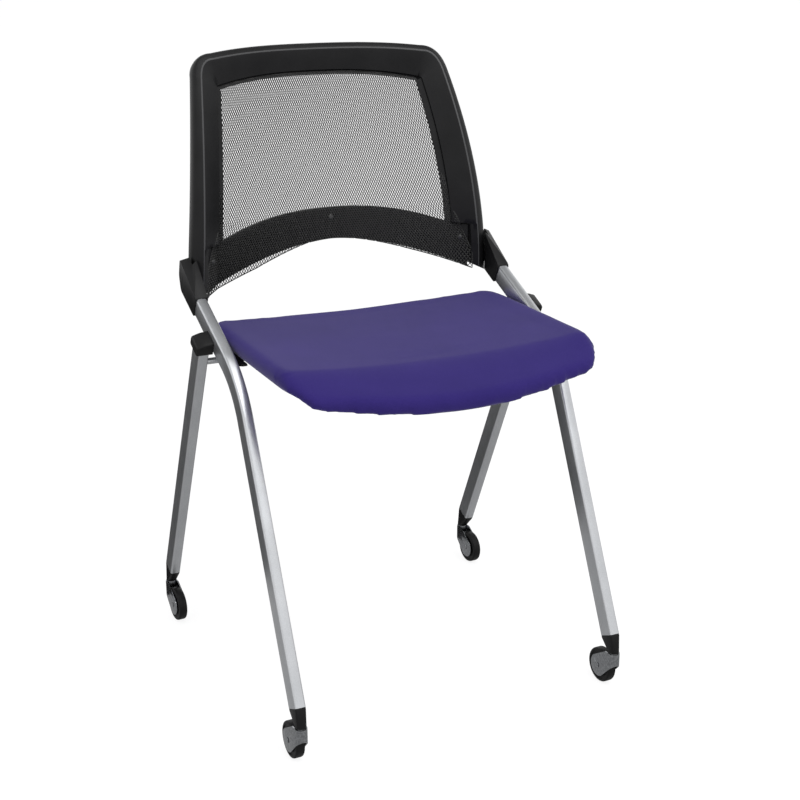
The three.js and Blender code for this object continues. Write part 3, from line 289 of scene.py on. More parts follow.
def moulded(name, dark, light, rough_low, rough_high, grain_mm):
    """A black plastic between two tones, with a leathery grain and a pale line of painted highlight."""
    material, tree, shader, place = finish(name)
    wide = add_node(tree, "ShaderNodeTexNoise", Vector=place, Scale=repeats(35), Detail=4)
    colour = add_node(tree, "ShaderNodeValToRGB", Fac=wide.outputs[0],
                      stops=((0.3, dark), (0.75, light)))
    # A pale grey is painted in where the attribute is set: a painted highlight for the light the
    # ridge's edge catches.
    line = add_node(tree, "ShaderNodeAttribute", {"attribute_name": PAINTED_HIGHLIGHT_ATTRIBUTE})
    line = add_node(tree, "ShaderNodeMath", {"operation": "GREATER_THAN"}, _0=line.outputs["Fac"],
                    _1=0.9)
    with_painted_highlight = add_node(tree, "ShaderNodeMix", {"data_type": "RGBA"}, Factor=line.outputs[0],
                      _6=colour.outputs[0], _7=linear("#4c4c4d"))
    rough = add_node(tree, "ShaderNodeMapRange", Value=wide.outputs[0], To_Min=rough_low,
                     To_Max=rough_high)
    grain = add_node(tree, "ShaderNodeTexVoronoi", {"feature": "SMOOTH_F1"}, Vector=place,
                     Scale=repeats(grain_mm), Smoothness=0.6)
    relief = add_node(tree, "ShaderNodeBump", Height=grain.outputs[0], Strength=0.4,
                      Distance=0.05 * MM)
    feed(tree, shader, Base_Color=with_painted_highlight.outputs[2], Roughness=rough.outputs[0],
         Normal=relief.outputs[0], IOR=1.49, Specular_IOR_Level=0.2)
    return material


rail_plastic = moulded("grained_black_polypropylene", "#151516", "#1d1d1e", 0.36, 0.46, 0.8)
nylon = moulded("satin_black_nylon", "#111112", "#19191a", 0.38, 0.5, 0.7)
tread = moulded("hard_black_castor_tread", "#111112", "#191919", 0.42, 0.55, 1.2)
shell = moulded("matt_black_seat_shell", "#151516", "#1c1c1d", 0.5, 0.62, 1.0)

# %% [markdown]
# The screws are steel under black zinc, half glossy and a little speckled.

# %% Black screws
screw_black, tree, shader, place = finish("black_zinc_screw")
speck = add_node(tree, "ShaderNodeTexNoise", Vector=place, Scale=repeats(1.2), Detail=3)
colour = add_node(tree, "ShaderNodeValToRGB", Fac=speck.outputs[0],
                  stops=((0.3, "#3a3a3a"), (0.7, "#505050")))
feed(tree, shader, Base_Color=colour.outputs[0], Metallic=0.8, Roughness=0.35)

# %% [markdown]
# The net is black polyester yarn, knitted. Each strand is a twisted bundle, so the material only adds
# the yarn's soft sheen, a fine fibre grain and the rows of stitches. The tone follows the relief:
# painted shade darkens the dips between the rows and the raised rows are painted lighter, which shows
# as level lines where the net lies on the crossbar. The holes themselves are in the mesh.

# %% Polyester yarn
KNIT_ROW = 3.4
yarn, tree, shader, place = finish("knitted_black_polyester_yarn")
fibre = add_node(tree, "ShaderNodeTexNoise", Vector=place, Scale=repeats(0.5), Detail=3)
rows = add_node(tree, "ShaderNodeTexWave", {"wave_type": "BANDS", "bands_direction": "Z"}, Vector=place,
                Scale=bands(KNIT_ROW), Distortion=0)
height = add_node(tree, "ShaderNodeMix", {"data_type": "FLOAT"}, Factor=0.8, _2=fibre.outputs[0],
                  _3=rows.outputs["Fac"])
# The tone follows the relief's height: painted shade in the dips between the stitch rows, lighter on
# the raised rows, with a random fibre grain.
colour = add_node(tree, "ShaderNodeValToRGB", Fac=height.outputs[0],
                  stops=((0.25, "#0c0c0c"), (0.75, "#373736")))
relief = add_node(tree, "ShaderNodeBump", Height=height.outputs[0], Strength=0.7, Distance=0.3 * MM)
feed(tree, shader, Base_Color=colour.outputs[0], Normal=relief.outputs[0], Roughness=0.8,
     Sheen_Weight=0.15, Sheen_Roughness=0.5)

# %% [markdown]
# The seat cover is a flat-woven polyester cloth in violet. Seen from above its loose fibre ends catch
# the light and grey it; seen straight on at the front lip it is deep and saturated. A little sheen
# gives that. The real threads are about 0.5 mm apart, too fine to show, so these are 1.1 mm apart.

# %% Violet upholstery cloth
THREAD = 1.1
cloth, tree, shader, place = finish("flat_woven_violet_polyester")
threads = []
for axis in (0, 1):
    turn = add_node(tree, "ShaderNodeMapping", Vector=place, Rotation=(0, 0, axis * math.pi / 2))
    wave = add_node(tree, "ShaderNodeTexWave", {"wave_type": "BANDS", "bands_direction": "X"},
                    Vector=turn.outputs[0], Scale=bands(THREAD), Distortion=1.2, Detail=2,
                    Detail_Scale=3)
    threads.append(wave.outputs["Fac"])
weave = add_node(tree, "ShaderNodeMath", {"operation": "MULTIPLY"}, _0=threads[0], _1=threads[1])
fleck = add_node(tree, "ShaderNodeTexNoise", Vector=place, Scale=repeats(1.6), Detail=4)
worn = add_node(tree, "ShaderNodeTexNoise", Vector=place, Scale=repeats(90), Detail=3)
tone = add_node(tree, "ShaderNodeMix", {"data_type": "FLOAT"}, Factor=0.5, _2=fleck.outputs[0],
                _3=worn.outputs[0])
colour = add_node(tree, "ShaderNodeValToRGB", Fac=tone.outputs[0],
                  stops=((0.3, "#2a1f65"), (0.5, "#2f236c"), (0.72, "#352873")))
height = add_node(tree, "ShaderNodeMath", {"operation": "ADD"}, _0=weave.outputs[0],
                  _1=fleck.outputs[0])
relief = add_node(tree, "ShaderNodeBump", Height=height.outputs[0], Strength=0.35,
                  Distance=0.12 * MM)
feed(tree, shader, Base_Color=colour.outputs[0], Normal=relief.outputs[0], Roughness=0.92,
     Specular_IOR_Level=0.2, Sheen_Weight=0.27, Sheen_Roughness=0.35)


# %% [markdown]
# ## Working by hand, in code
# Operators act on what is selected, so each step first clears the selection, then picks faces or
# edges by their place or the way they face. These few helpers do that.

# %% Selection helpers
def clear():
    bpy.ops.object.select_all(action="DESELECT")


def pick_only(obj):
    clear()
    obj.select_set(True)
    bpy.context.view_layer.objects.active = obj


def edit_mesh(obj, select="DESELECT"):
    """Edit mode with nothing selected, or with everything."""
    pick_only(obj)
    bpy.ops.object.mode_set(mode="EDIT")
    bpy.ops.mesh.select_all(action=select)


def pick(obj, kind, wanted):
    """In edit mode, selects the faces, edges or verts that wanted() says yes to."""
    mesh = bmesh.from_edit_mesh(obj.data)
    bpy.ops.mesh.select_all(action="DESELECT")
    bpy.ops.mesh.select_mode(type={"faces": "FACE", "edges": "EDGE", "verts": "VERT"}[kind])
    for element in getattr(mesh, kind):
        if wanted(element):
            element.select_set(True)
    mesh.select_flush_mode()
    bmesh.update_edit_mesh(obj.data)


def object_mode():
    bpy.ops.object.mode_set(mode="OBJECT")


def modifier(obj, kind, **values):
    """Adds a modifier and applies it."""
    pick_only(obj)
    made = obj.modifiers.new(kind.lower(), kind)
    for name, value in values.items():
        setattr(made, name, value)
    bpy.ops.object.modifier_apply(modifier=made.name)


def smooth(obj, angle=35):
    """Shades smooth across every edge that turns less than an angle in degrees."""
    pick_only(obj)
    bpy.ops.object.shade_smooth_by_angle(angle=math.radians(angle))


def settle(obj):
    """Moves the object's place, turn and size into its mesh."""
    pick_only(obj)
    bpy.ops.object.transform_apply(location=True, rotation=True, scale=True)


def face_outwards(obj):
    """Merges points that lie together and turns every face outwards."""
    edit_mesh(obj, "SELECT")
    bpy.ops.mesh.remove_doubles(threshold=0.002 * MM)
    bpy.ops.mesh.normals_make_consistent(inside=False)
    object_mode()


def place_of(piece, body, slot, material, *nodes):
    """Names what a finished piece rides on, stands for and is made of."""
    piece.data.materials.clear()
    piece.data.materials.append(material)
    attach(piece, body)
    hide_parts(*nodes)
    print(piece.name, "rides on", body, "as", slot)


def copy_of(obj, name):
    """A copy with its own mesh."""
    clear()
    twin = obj.copy()
    twin.data = obj.data.copy()
    twin.name = name
    bpy.context.collection.objects.link(twin)
    return twin


def remove(obj):
    """Deletes an object that only served to make others."""
    pick_only(obj)
    bpy.ops.object.delete()


def relax(obj, rounds, group=""):
    """Smooths a mesh a number of times, or only its part in a vertex group."""
    modifier(obj, "SMOOTH", factor=0.5, iterations=rounds, vertex_group=group)


# %% [markdown]
# ## Frame tubes
# The legs are flat oval steel tube, 15 by 28 mm, with faces that bulge a little. One way is a curve
# with a bevel profile, but that profile turns soft in the bend. Extruding a face along the leg,
# spinning it round the bend's centre and extruding it up the back keeps the section true, as a tube
# bender does.

# %% Tube sizes
TUBE_WIDTH = 15
TUBE_DEPTH = 28
TUBE_CORNER = 3
TUBE_BULGE = 0.45
FRONT_X = 237.5
FRONT_LEAN = math.radians(25.8)
UPRIGHT_RISE = math.radians(24.5)
KNEE = Vector((0, -60.7, 460.3))
KNEE_RADIUS = 135
FRONT_FOOT_Z = 78.4
SLEEVE_MOUTH_Y = 90.2
SLEEVE_DEPTH = 36
REAR_X = 257.3
REAR_LEAN = math.radians(25.7)
REAR_FOOT = Vector((0, 229.8, 83.5))
REAR_TOP_Z = 495.5
BEND_STEPS = 26
CORNER_SEGMENTS = 5
NEAR = 0.1 * MM

front_axis = Vector((0, math.sin(FRONT_LEAN), math.cos(FRONT_LEAN)))
upright_axis = Vector((0, math.cos(UPRIGHT_RISE), math.sin(UPRIGHT_RISE)))
rear_axis = Vector((0, -math.sin(REAR_LEAN), math.cos(REAR_LEAN)))
front_foot = KNEE + front_axis * ((FRONT_FOOT_Z - KNEE.z) / front_axis.z)
sleeve_mouth = KNEE + upright_axis * ((SLEEVE_MOUTH_Y - KNEE.y) / upright_axis.y)
print("front tubes run from", front_foot, "by", KNEE, "to", sleeve_mouth)


# %% Tube section and its extrusion
def tube_face(x, foot, lean):
    """A tube's end face at its foot: a plate with bulged sides and rounded corners."""
    clear()
    bpy.ops.mesh.primitive_plane_add(size=1)
    tube = bpy.context.object
    tube.scale = (TUBE_WIDTH * MM, TUBE_DEPTH * MM, 1)
    settle(tube)
    edit_mesh(tube, "SELECT")
    bpy.ops.mesh.subdivide(number_cuts=1)
    centre = lambda v: abs(v.co.x) < NEAR and abs(v.co.y) < NEAR
    pick(tube, "verts", lambda v: abs(v.co.x) < NEAR and not centre(v))
    bpy.ops.transform.resize(value=(1, 1 + 2 * TUBE_BULGE / TUBE_DEPTH, 1))
    pick(tube, "verts", lambda v: abs(v.co.y) < NEAR and not centre(v))
    bpy.ops.transform.resize(value=(1 + 2 * TUBE_BULGE / TUBE_WIDTH, 1, 1))
    pick(tube, "verts", centre)
    bpy.ops.mesh.dissolve_verts()
    pick(tube, "verts", lambda v: abs(v.co.x) > NEAR and abs(v.co.y) > NEAR)
    bpy.ops.mesh.bevel(offset=TUBE_CORNER * MM, segments=CORNER_SEGMENTS, affect="VERTICES")
    object_mode()
    turn = Matrix.Rotation(-lean, 4, "X")
    place = Matrix.Translation(Vector((x, foot.y, foot.z)) * MM)
    tube.data.transform(place @ turn)
    return tube


def extend(vector):
    """Extrudes the selected faces along a vector in millimetres."""
    bpy.ops.mesh.extrude_region_move(TRANSFORM_OT_translate={"value": vector * MM})


def front_tube(name, x):
    """A front tube: leg, bend and upright, each extruded or spun from the last."""
    tube = tube_face(x, front_foot, FRONT_LEAN)
    turn = front_axis.angle(upright_axis)
    reach = KNEE_RADIUS * math.tan(turn / 2)
    bend_start = KNEE - front_axis * reach
    bend_end = KNEE + upright_axis * reach
    inward = (upright_axis - front_axis * upright_axis.dot(front_axis)).normalized()
    centre = bend_start + inward * KNEE_RADIUS
    edit_mesh(tube, "SELECT")
    extend(bend_start - front_foot)
    bpy.ops.mesh.spin(steps=BEND_STEPS, angle=turn, center=Vector((x, centre.y, centre.z)) * MM,
                      axis=(1, 0, 0))
    extend(sleeve_mouth + upright_axis * SLEEVE_DEPTH - bend_end)
    object_mode()
    face_outwards(tube)
    smooth(tube, 40)
    tube.name = name
    return tube


def rear_tube(name, x):
    """A rear leg, straight from its foot into its cap."""
    tube = tube_face(x, REAR_FOOT, -REAR_LEAN)
    edit_mesh(tube, "SELECT")
    extend(rear_axis * ((REAR_TOP_Z - REAR_FOOT.z) / rear_axis.z))
    object_mode()
    face_outwards(tube)
    smooth(tube, 40)
    tube.name = name
    return tube


# %% Make the four tubes
for side, sign in SIDES.items():
    upright = front_tube(f"bent_tube_{side}", sign * FRONT_X)
    place_of(upright, "frame", "satin_steel", steel, f"front_tube_{side}")
    leg = rear_tube(f"rear_tube_{side}", sign * REAR_X)
    place_of(leg, "frame", "satin_steel", steel, f"rear_leg_{side}")


# %% [markdown]
# ## Mouldings
# The CAD mouldings have true shapes with bare edges. A copy of each is merged, its flat triangles are
# dissolved into faces, and its edges get the small radius that every moulding has, which is what
# catches the light.

# %% Soften the edges of a CAD solid
FLAT_ANGLE = math.radians(1)
SOFT_ANGLE = math.radians(28)
SOFT_SEGMENTS = 3


def softened(node, name, radius):
    """A copy of a CAD node with every sharp edge rounded to a radius in millimetres."""
    piece = copy_of(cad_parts[node], name)
    for key in list(piece.keys()):
        del piece[key]
    piece.parent = None
    edit_mesh(piece, "SELECT")
    bpy.ops.mesh.remove_doubles(threshold=0.01 * MM)
    bpy.ops.mesh.dissolve_limited(angle_limit=FLAT_ANGLE)
    object_mode()
    modifier(piece, "BEVEL", width=radius * MM, segments=SOFT_SEGMENTS, limit_method="ANGLE",
             angle_limit=SOFT_ANGLE, use_clamp_overlap=True, miter_outer="MITER_ARC")
    smooth(piece, 40)
    return piece


# %% Caps, plugs, arms, brackets and crossbar
for side in SIDES:
    for node, name, radius in (
        ("knuckle_cap", "leg_cap", 1.2),
        ("seat_arm", "hinge_arm", 0.8),
        ("back_bracket", "upright_sleeve", 1.5),
    ):
        piece = softened(f"{node}_{side}", f"{name}_{side}", radius)
        body = "seat" if node == "seat_arm" else "frame"
        place_of(piece, body, "black_nylon", nylon, f"{node}_{side}")
    for end in ENDS:
        piece = softened(f"leg_plug_{end}_{side}", f"foot_plug_{end}_{side}", 0.5)
        place_of(piece, "frame", "black_nylon", nylon, f"leg_plug_{end}_{side}")
bar = softened("back_crossbar", "arched_bar", 0.8)
place_of(bar, "frame", "back_plastic", rail_plastic, "back_crossbar")


# %% [markdown]
# ## Back rail
# The rail changes its section all along: a broad slope towards the net, a crisp front ridge, a
# rounded flank, and a foot where only a narrow lip is left. No single operator sweeps such a section,
# so the rings are worked out and skinned. The ridge line, the net's edge and the flank come from the
# same sizes as the CAD. A flange inside the lip carries the net's border, which looks dark for that.

# %% Rail sizes
RIDGE_FOOT = Vector((216.5, 130.3, 597.5))
RIDGE_TOP_Z = 860
RIDGE_TAPER = 33.2
RIDGE_SWEEP = 85.6
RIDGE_CORNER_Z = 827.5
RIDGE_TOP_X = 165
RIDGE_TOP_Y = 244.2
RIDGE_TOP_BOW = 27.5
RIDGE_TOP_DROP = 6.5
RAIL_TOP_LEAN = math.radians(30)
RAIL_BOTTOM_Z = 535.5
RAIL_BOTTOM_SLOPE = 0.5
SLOPE_WIDTH = 30.4
SLOPE_DEPTH = 25.5
TOP_SLOPE_DEPTH = 20.1
WINDOW_TOP_Z = 828.5
WINDOW_TOP_DROP = 13.5
WINDOW_TOP_RECESS = 2
WINDOW_CORNER_X = 160
WINDOW_CORNER_ROUND = 2.5
FLANK = 15.6
FLANK_AT_CORNER = 10.3
TOP_FLANK = 12.3
FLANGE = 8
TOP_FLANGE = 5
FLANGE_RECESS = 4.2
FLANGE_THICKNESS = 2
RAIL_DEPTH = 36
RAIL_TOP_DEPTH = 27
LIP_THICKNESS = 8
NET_DISH = 29
FOOT_LIP = 8.5
STEP_Z = 601
STEP_RISE = 1
FOOT_RINGS = 6
SIDE_RINGS = 32
CORNER_RINGS = 18
TOP_RINGS = 20
SLOPE_SHAPE = ((1, 1), (0.7, 0.68), (0.4, 0.36), (0.14, 0.1), (0.05, 0.02))
SLOPE_POINTS = 10
FLANK_SHAPE = ((0.05, 0), (0.16, 0.012), (0.45, 0.06), (0.75, 0.14), (0.93, 0.26), (1, 0.42),
               (0.99, 0.58), (0.93, 0.76), (0.78, 0.91), (0.5, 0.985), (0.25, 1))
FLANK_POINTS = 26
# The points at the edge between slope and flank, where the pale line of painted highlight goes.
PAINTED_HIGHLIGHT_POINTS = (SLOPE_POINTS - 1, SLOPE_POINTS)


def mix(a, b, share):
    """A value or vector between two others, a at share 0 and b at share 1."""
    return a + (b - a) * share


def height_share(z):
    """How far up the rail a height lies: 0 at the ridge's foot and 1 at its top."""
    return (z - RIDGE_FOOT.z) / (RIDGE_TOP_Z - RIDGE_FOOT.z)


def ridge_side(z):
    """The ridge along the left of the sitter, leaning inwards and sweeping back as it rises."""
    t = height_share(z)
    return Vector((
        RIDGE_FOOT.x - RIDGE_TAPER * (0.53 * t + 0.47 * t ** 2),
        RIDGE_FOOT.y + RIDGE_SWEEP * (0.17 * t + 0.83 * t ** 2),
        z,
    ))


def ridge_top(x):
    """The ridge along the top, bowed to the front at its ends."""
    share = abs(x) / RIDGE_TOP_X
    return Vector((x, RIDGE_TOP_Y - RIDGE_TOP_BOW * share ** 2,
                   RIDGE_TOP_Z - RIDGE_TOP_DROP * share ** 3))


def window_side(z):
    """The window's edge along a side, at the foot of the rail's slope."""
    t = min(max(height_share(z), 0), 1)
    ridge = ridge_side(z)
    return Vector((ridge.x - SLOPE_WIDTH, ridge.y + mix(SLOPE_DEPTH, TOP_SLOPE_DEPTH, t), z))


def window_top(x):
    """The window's edge along the top."""
    share = abs(x) / WINDOW_CORNER_X
    return Vector((x, ridge_top(x).y + WINDOW_TOP_RECESS,
                   WINDOW_TOP_Z - WINDOW_TOP_DROP * share ** 2.6))


print("window's corner", window_top(WINDOW_CORNER_X))


# %% Rail section
def curve_through(points, steps):
    """A smooth curve through points, as many points as steps."""
    out = []
    last = len(points) - 1
    for i in range(steps):
        at = i / (steps - 1) * last
        k = min(int(at), last - 1)
        t = at - k
        p0, p1 = points[max(k - 1, 0)], points[k]
        p2, p3 = points[k + 1], points[min(k + 2, last)]
        out.append(tuple(
            0.5 * (2 * b + (c - a) * t + (2 * a - 5 * b + 4 * c - d) * t ** 2
                   + (3 * b - a - 3 * c + d) * t ** 3)
            for a, b, c, d in zip(p0, p1, p2, p3)
        ))
    return out


def rail_ring(ridge, edge, turn, flanged=True):
    """A section of the rail. Outwards turns from sideways to upwards round the corner."""
    share = min(max(height_share(ridge.z), 0), 1)
    up = math.sin(turn)
    flank = mix(mix(FLANK, FLANK_AT_CORNER, share), TOP_FLANK, up)
    depth = mix(RAIL_DEPTH, RAIL_TOP_DEPTH, share)
    lean = RAIL_TOP_LEAN * up
    outward = Vector((math.cos(turn), up * math.sin(RAIL_TOP_LEAN), up * math.cos(RAIL_TOP_LEAN)))
    backward = Vector((0, math.cos(lean), -math.sin(lean)))
    inward = edge - ridge
    deep = inward.dot(backward)
    inward -= backward * deep
    slope = curve_through([(k, deep * share) for k, share in SLOPE_SHAPE], SLOPE_POINTS)
    side = curve_through(FLANK_SHAPE, FLANK_POINTS)
    back = [(0.55, depth * 0.98), (1, max(deep + LIP_THICKNESS, depth * 0.85))]
    reach = 1 + (mix(FLANGE, TOP_FLANGE, up) / inward.length if flanged else 0.001)
    sag = 2 * NET_DISH * FLANGE / WINDOW_CORNER_X * (1 - up) if flanged else 0
    front = deep + FLANGE_RECESS
    back += [(reach, front + sag + FLANGE_THICKNESS), (reach, front + sag), (1, front)]
    ring = [ridge + inward * k + backward * b for k, b in slope]
    ring += [ridge + outward * (k * flank) + backward * (b * depth) for k, b in side]
    ring += [ridge + inward * k + backward * b for k, b in back]
    return ring


def foot_ring(z, bottom):
    """A section of the rail's foot, where only a lip of the slope is left beside the crossbar."""
    ridge = ridge_side(z)
    edge = ridge + Vector((-FOOT_LIP, SLOPE_DEPTH * FOOT_LIP / SLOPE_WIDTH, 0))
    ring = rail_ring(ridge, edge, 0, flanged=False)
    if bottom:
        for p in ring:
            p.z -= RAIL_BOTTOM_SLOPE * (p.x - RIDGE_FOOT.x)
    return ring


def bezier(a, b, c, t):
    """A place on the curve from a to c that leans towards b."""
    return a * (1 - t) ** 2 + b * (2 * t * (1 - t)) + c * t ** 2


# %% Rail
def half_rail():
    """Rings from a foot up the side, round the corner and on to the middle of the top."""
    rings = [foot_ring(RAIL_BOTTOM_Z, True)]
    rings += [foot_ring(mix(RAIL_BOTTOM_Z, STEP_Z - STEP_RISE, k / FOOT_RINGS), False)
              for k in range(1, FOOT_RINGS + 1)]
    corner_z = window_top(WINDOW_CORNER_X).z
    edge_corner = window_side(corner_z)
    for k in range(SIDE_RINGS + 1):
        share = k / SIDE_RINGS
        edge_z = mix(STEP_Z, corner_z - WINDOW_CORNER_ROUND, share)
        ridge_z = mix(STEP_Z, RIDGE_CORNER_Z, share)
        rings.append(rail_ring(ridge_side(ridge_z), window_side(edge_z), 0))
    start, end = ridge_side(RIDGE_CORNER_Z), ridge_top(RIDGE_TOP_X)
    rise = start - ridge_side(RIDGE_CORNER_Z - WINDOW_CORNER_ROUND)
    corner = start + rise * ((end.z - start.z) / rise.z)
    corner.y = (corner.y + end.y) / 2
    inner = edge_corner.x - WINDOW_CORNER_ROUND
    edge_start = window_side(corner_z - WINDOW_CORNER_ROUND)
    for k in range(1, CORNER_RINGS + 1):
        share = k / CORNER_RINGS
        ridge = bezier(start, corner, end, share)
        edge = bezier(edge_start, edge_corner, window_top(inner), share)
        rings.append(rail_ring(ridge, edge, share * math.pi / 2))
    for k in range(1, TOP_RINGS + 1):
        share = 1 - k / TOP_RINGS
        rings.append(rail_ring(ridge_top(RIDGE_TOP_X * share), window_top(inner * share), math.pi / 2))
    return rings


def skin(name, rings):
    """A closed mesh through rings of equal length, capped at both ends."""
    count = len(rings[0])
    points = [p * MM for ring in rings for p in ring]
    faces = []
    for i in range(len(rings) - 1):
        for j in range(count):
            a, b = i * count + j, i * count + (j + 1) % count
            faces.append((a, b, b + count, a + count))
    faces.append(tuple(range(count - 1, -1, -1)))
    faces.append(tuple((len(rings) - 1) * count + j for j in range(count)))
    mesh = bpy.data.meshes.new(name)
    mesh.from_pydata(points, [], faces)
    piece = bpy.data.objects.new(name, mesh)
    bpy.context.collection.objects.link(piece)
    face_outwards(piece)
    return piece


half = half_rail()
other = [[Vector((-p.x, p.y, p.z)) for p in ring] for ring in reversed(half[:-1])]
rail = skin("moulded_back_rail", half + other)
# The ridge's edge points get the pale line: a painted highlight along the crisp edge.
painted_highlight = rail.data.attributes.new(PAINTED_HIGHLIGHT_ATTRIBUTE, "FLOAT", "POINT")
per_ring = len(half[0])
for index, point in enumerate(painted_highlight.data):
    point.value = 1 if index % per_ring in PAINTED_HIGHLIGHT_POINTS else 0
smooth(rail, 38)
place_of(rail, "frame", "back_plastic", rail_plastic, "back_rail")
print("rail faces", len(rail.data.polygons))

# %% [markdown]
# ## Net
# The knitted net is stretched over the back, dished between the sides, and wraps the crossbar at its
# foot with a short fringe below. A flat pattern with see-through shading would vanish from the mesh.
# Here a grid is poked and its old edges are dissolved, which leaves a lattice of diamonds. The
# Wireframe modifier turns every edge into a strand. The holes are 3.75 mm apart across and their rows
# 3.4 mm apart, as counted in the photograph. The rows run level, and what lies below the crossbar's
# arch is drawn up to a cut edge, where the squashed cells are deleted. That leaves the short fringe
# of the photograph, longer at the left.

# %% Net sizes
NET_RECESS = 2
NET_THICKNESS = 1.4
NET_PITCH = 3.75
NET_ROW = 6.8
STRAND = 1.8
FRINGE_LEFT = 7.8
FRINGE_RIGHT = 1.8
BAR_TOP_Z = 632.5
BAR_TOP_FALL = 47
BAR_BOTTOM_Z = 586.5
BAR_BOTTOM_FALL = 57
BAR_REFERENCE_X = 216.5
TOP_ALLOWANCE = 3.6
BAR_HALF = 207.7
NET_LIFT = 2.8
NET_LIFT_RUN = 4
NET_END = 212
NET_GAP = 0.6
NET_SPREAD_Z = (557, 628)
BAR_BOTTOM_POWER = 1.65
BAR_TOP_POWER = 2.3
BAR_TOP_COVER = 0.3
FRINGE_START = 40
FRINGE_RAMP = 85
NET_LOW = 521
SLIVER = 1.2
FRINGE_END_LOSS = 0.6
FRINGE_TUCK = 1
FOOT_SLIVER = 0.2


def net_y(x, z):
    """Front of the net: dished across the window, then on the bar's end or the rail's slope."""
    edge = window_side(z)
    dish = NET_DISH * (1 - min(1, abs(x) / edge.x) ** 2)
    on_rail = min(max((z - STEP_Z) / NET_LIFT_RUN + 1, 0), 1)
    beyond = max(0, abs(x) - mix(window_side(RAIL_BOTTOM_Z).x, edge.x, on_rail))
    lift = NET_LIFT * min(max((abs(x) - mix(BAR_HALF, edge.x, on_rail)) / NET_LIFT_RUN, 0), 1)
    return edge.y + NET_RECESS + dish - lift - beyond * SLOPE_DEPTH / SLOPE_WIDTH


def bar_bottom(x):
    """The lower edge of the crossbar's arch."""
    return BAR_BOTTOM_Z - BAR_BOTTOM_FALL * (abs(x) / BAR_REFERENCE_X) ** BAR_BOTTOM_POWER


def bar_top(x):
    """The upper edge of the crossbar's arch, down to the rail's step."""
    arch = BAR_TOP_Z - BAR_TOP_FALL * (abs(x) / BAR_REFERENCE_X) ** BAR_TOP_POWER
    return max(arch, STEP_Z - STEP_RISE - BAR_TOP_COVER)


def net_reach(z):
    """Half the net's width: it fills the window, and lower down it spreads over the rail's foot."""
    low, high = NET_SPREAD_Z
    lower = min(max((high - z) / (high - low), 0), 1)
    return mix(window_side(z).x - NET_GAP, NET_END, lower)


def net_foot(x):
    """The net's cut edge: a fringe under the crossbar, tucked away in the middle, short at the ends."""
    fade = min(max((abs(x) - FRINGE_START) / FRINGE_RAMP, 0), 1)
    fade *= 1 - FRINGE_END_LOSS * (x / NET_END) ** 4
    fringe = FRINGE_LEFT if x < 0 else FRINGE_RIGHT
    return bar_bottom(x) + FRINGE_TUCK - (fringe + FRINGE_TUCK) * fade


def net_point(u, v):
    """A place on the net: u runs across from -1 to 1 and v up in level rows, cut off at the top."""
    z = mix(NET_LOW, WINDOW_TOP_Z - TOP_ALLOWANCE, v)
    x = u * net_reach(z)
    top = window_top(u * WINDOW_CORNER_X)
    high = top.z - TOP_ALLOWANCE - WINDOW_CORNER_ROUND * u ** 8
    z = max(min(z, high), net_foot(x))
    above = max(0, (z - bar_top(x)) / (high - bar_top(x)))
    y = mix(net_y(x, z), top.y + NET_RECESS, above ** 3)
    return Vector((x, y + NET_THICKNESS / 2, z))


# %% Knit the net
columns = round(2 * window_side(RIDGE_FOOT.z).x / NET_PITCH)
rows = round((WINDOW_TOP_Z - TOP_ALLOWANCE - NET_LOW) / NET_ROW)
clear()
bpy.ops.mesh.primitive_grid_add(x_subdivisions=columns, y_subdivisions=rows, size=2)
net = bpy.context.object
net.name = "knitted_net"
edit_mesh(net, "SELECT")
bpy.ops.mesh.poke()
object_mode()
step_x, step_y = 2 / columns, 2 / rows
edit_mesh(net)
pick(net, "edges", lambda e: not e.is_boundary and (
    abs(e.verts[0].co.x - e.verts[1].co.x) < step_x / 4
    or abs(e.verts[0].co.y - e.verts[1].co.y) < step_y / 4))
bpy.ops.mesh.dissolve_edges(use_verts=False)
object_mode()
for vertex in net.data.vertices:
    vertex.co = net_point(vertex.co.x, (vertex.co.y + 1) / 2) * MM
edit_mesh(net)
centre = lambda f: f.calc_center_median() / MM
pick(net, "faces", lambda f: f.calc_area() < SLIVER * MM ** 2
     or centre(f).z < net_foot(centre(f).x) + FOOT_SLIVER)
bpy.ops.mesh.delete(type="FACE")
object_mode()
modifier(net, "WIREFRAME", thickness=STRAND * MM, use_even_offset=False, use_replace=True,
         use_boundary=True)
smooth(net, 80)
place_of(net, "frame", "net_knit", yarn, "back_net")
print("net", columns, "by", rows, "cells", len(net.data.polygons), "faces")

# %% [markdown]
# ## Seat
# The seat is foam on a board under one tight cover. Seen from above it is nearly flat, a little
# hollow across, and its front falls away like a waterfall. The form is skinned through rings that
# follow the seat's outline from the middle of the top, over the edge, to the middle of the underside.
# The rings take much the same sizes as the CAD but are far closer, so that no facet shows. A copy is
# remeshed even, a cloth simulation with some pressure plumps it, and the swelling is capped at a few
# millimetres. That rounds the crest and the corners off, so what has sunk inside the form is drawn
# back out to it, the top is set to its true height and the edges are smoothed once more. The lower
# part of the side is drawn onto the form before and after the last subdivision, so that the lip's
# lower edge runs clean.

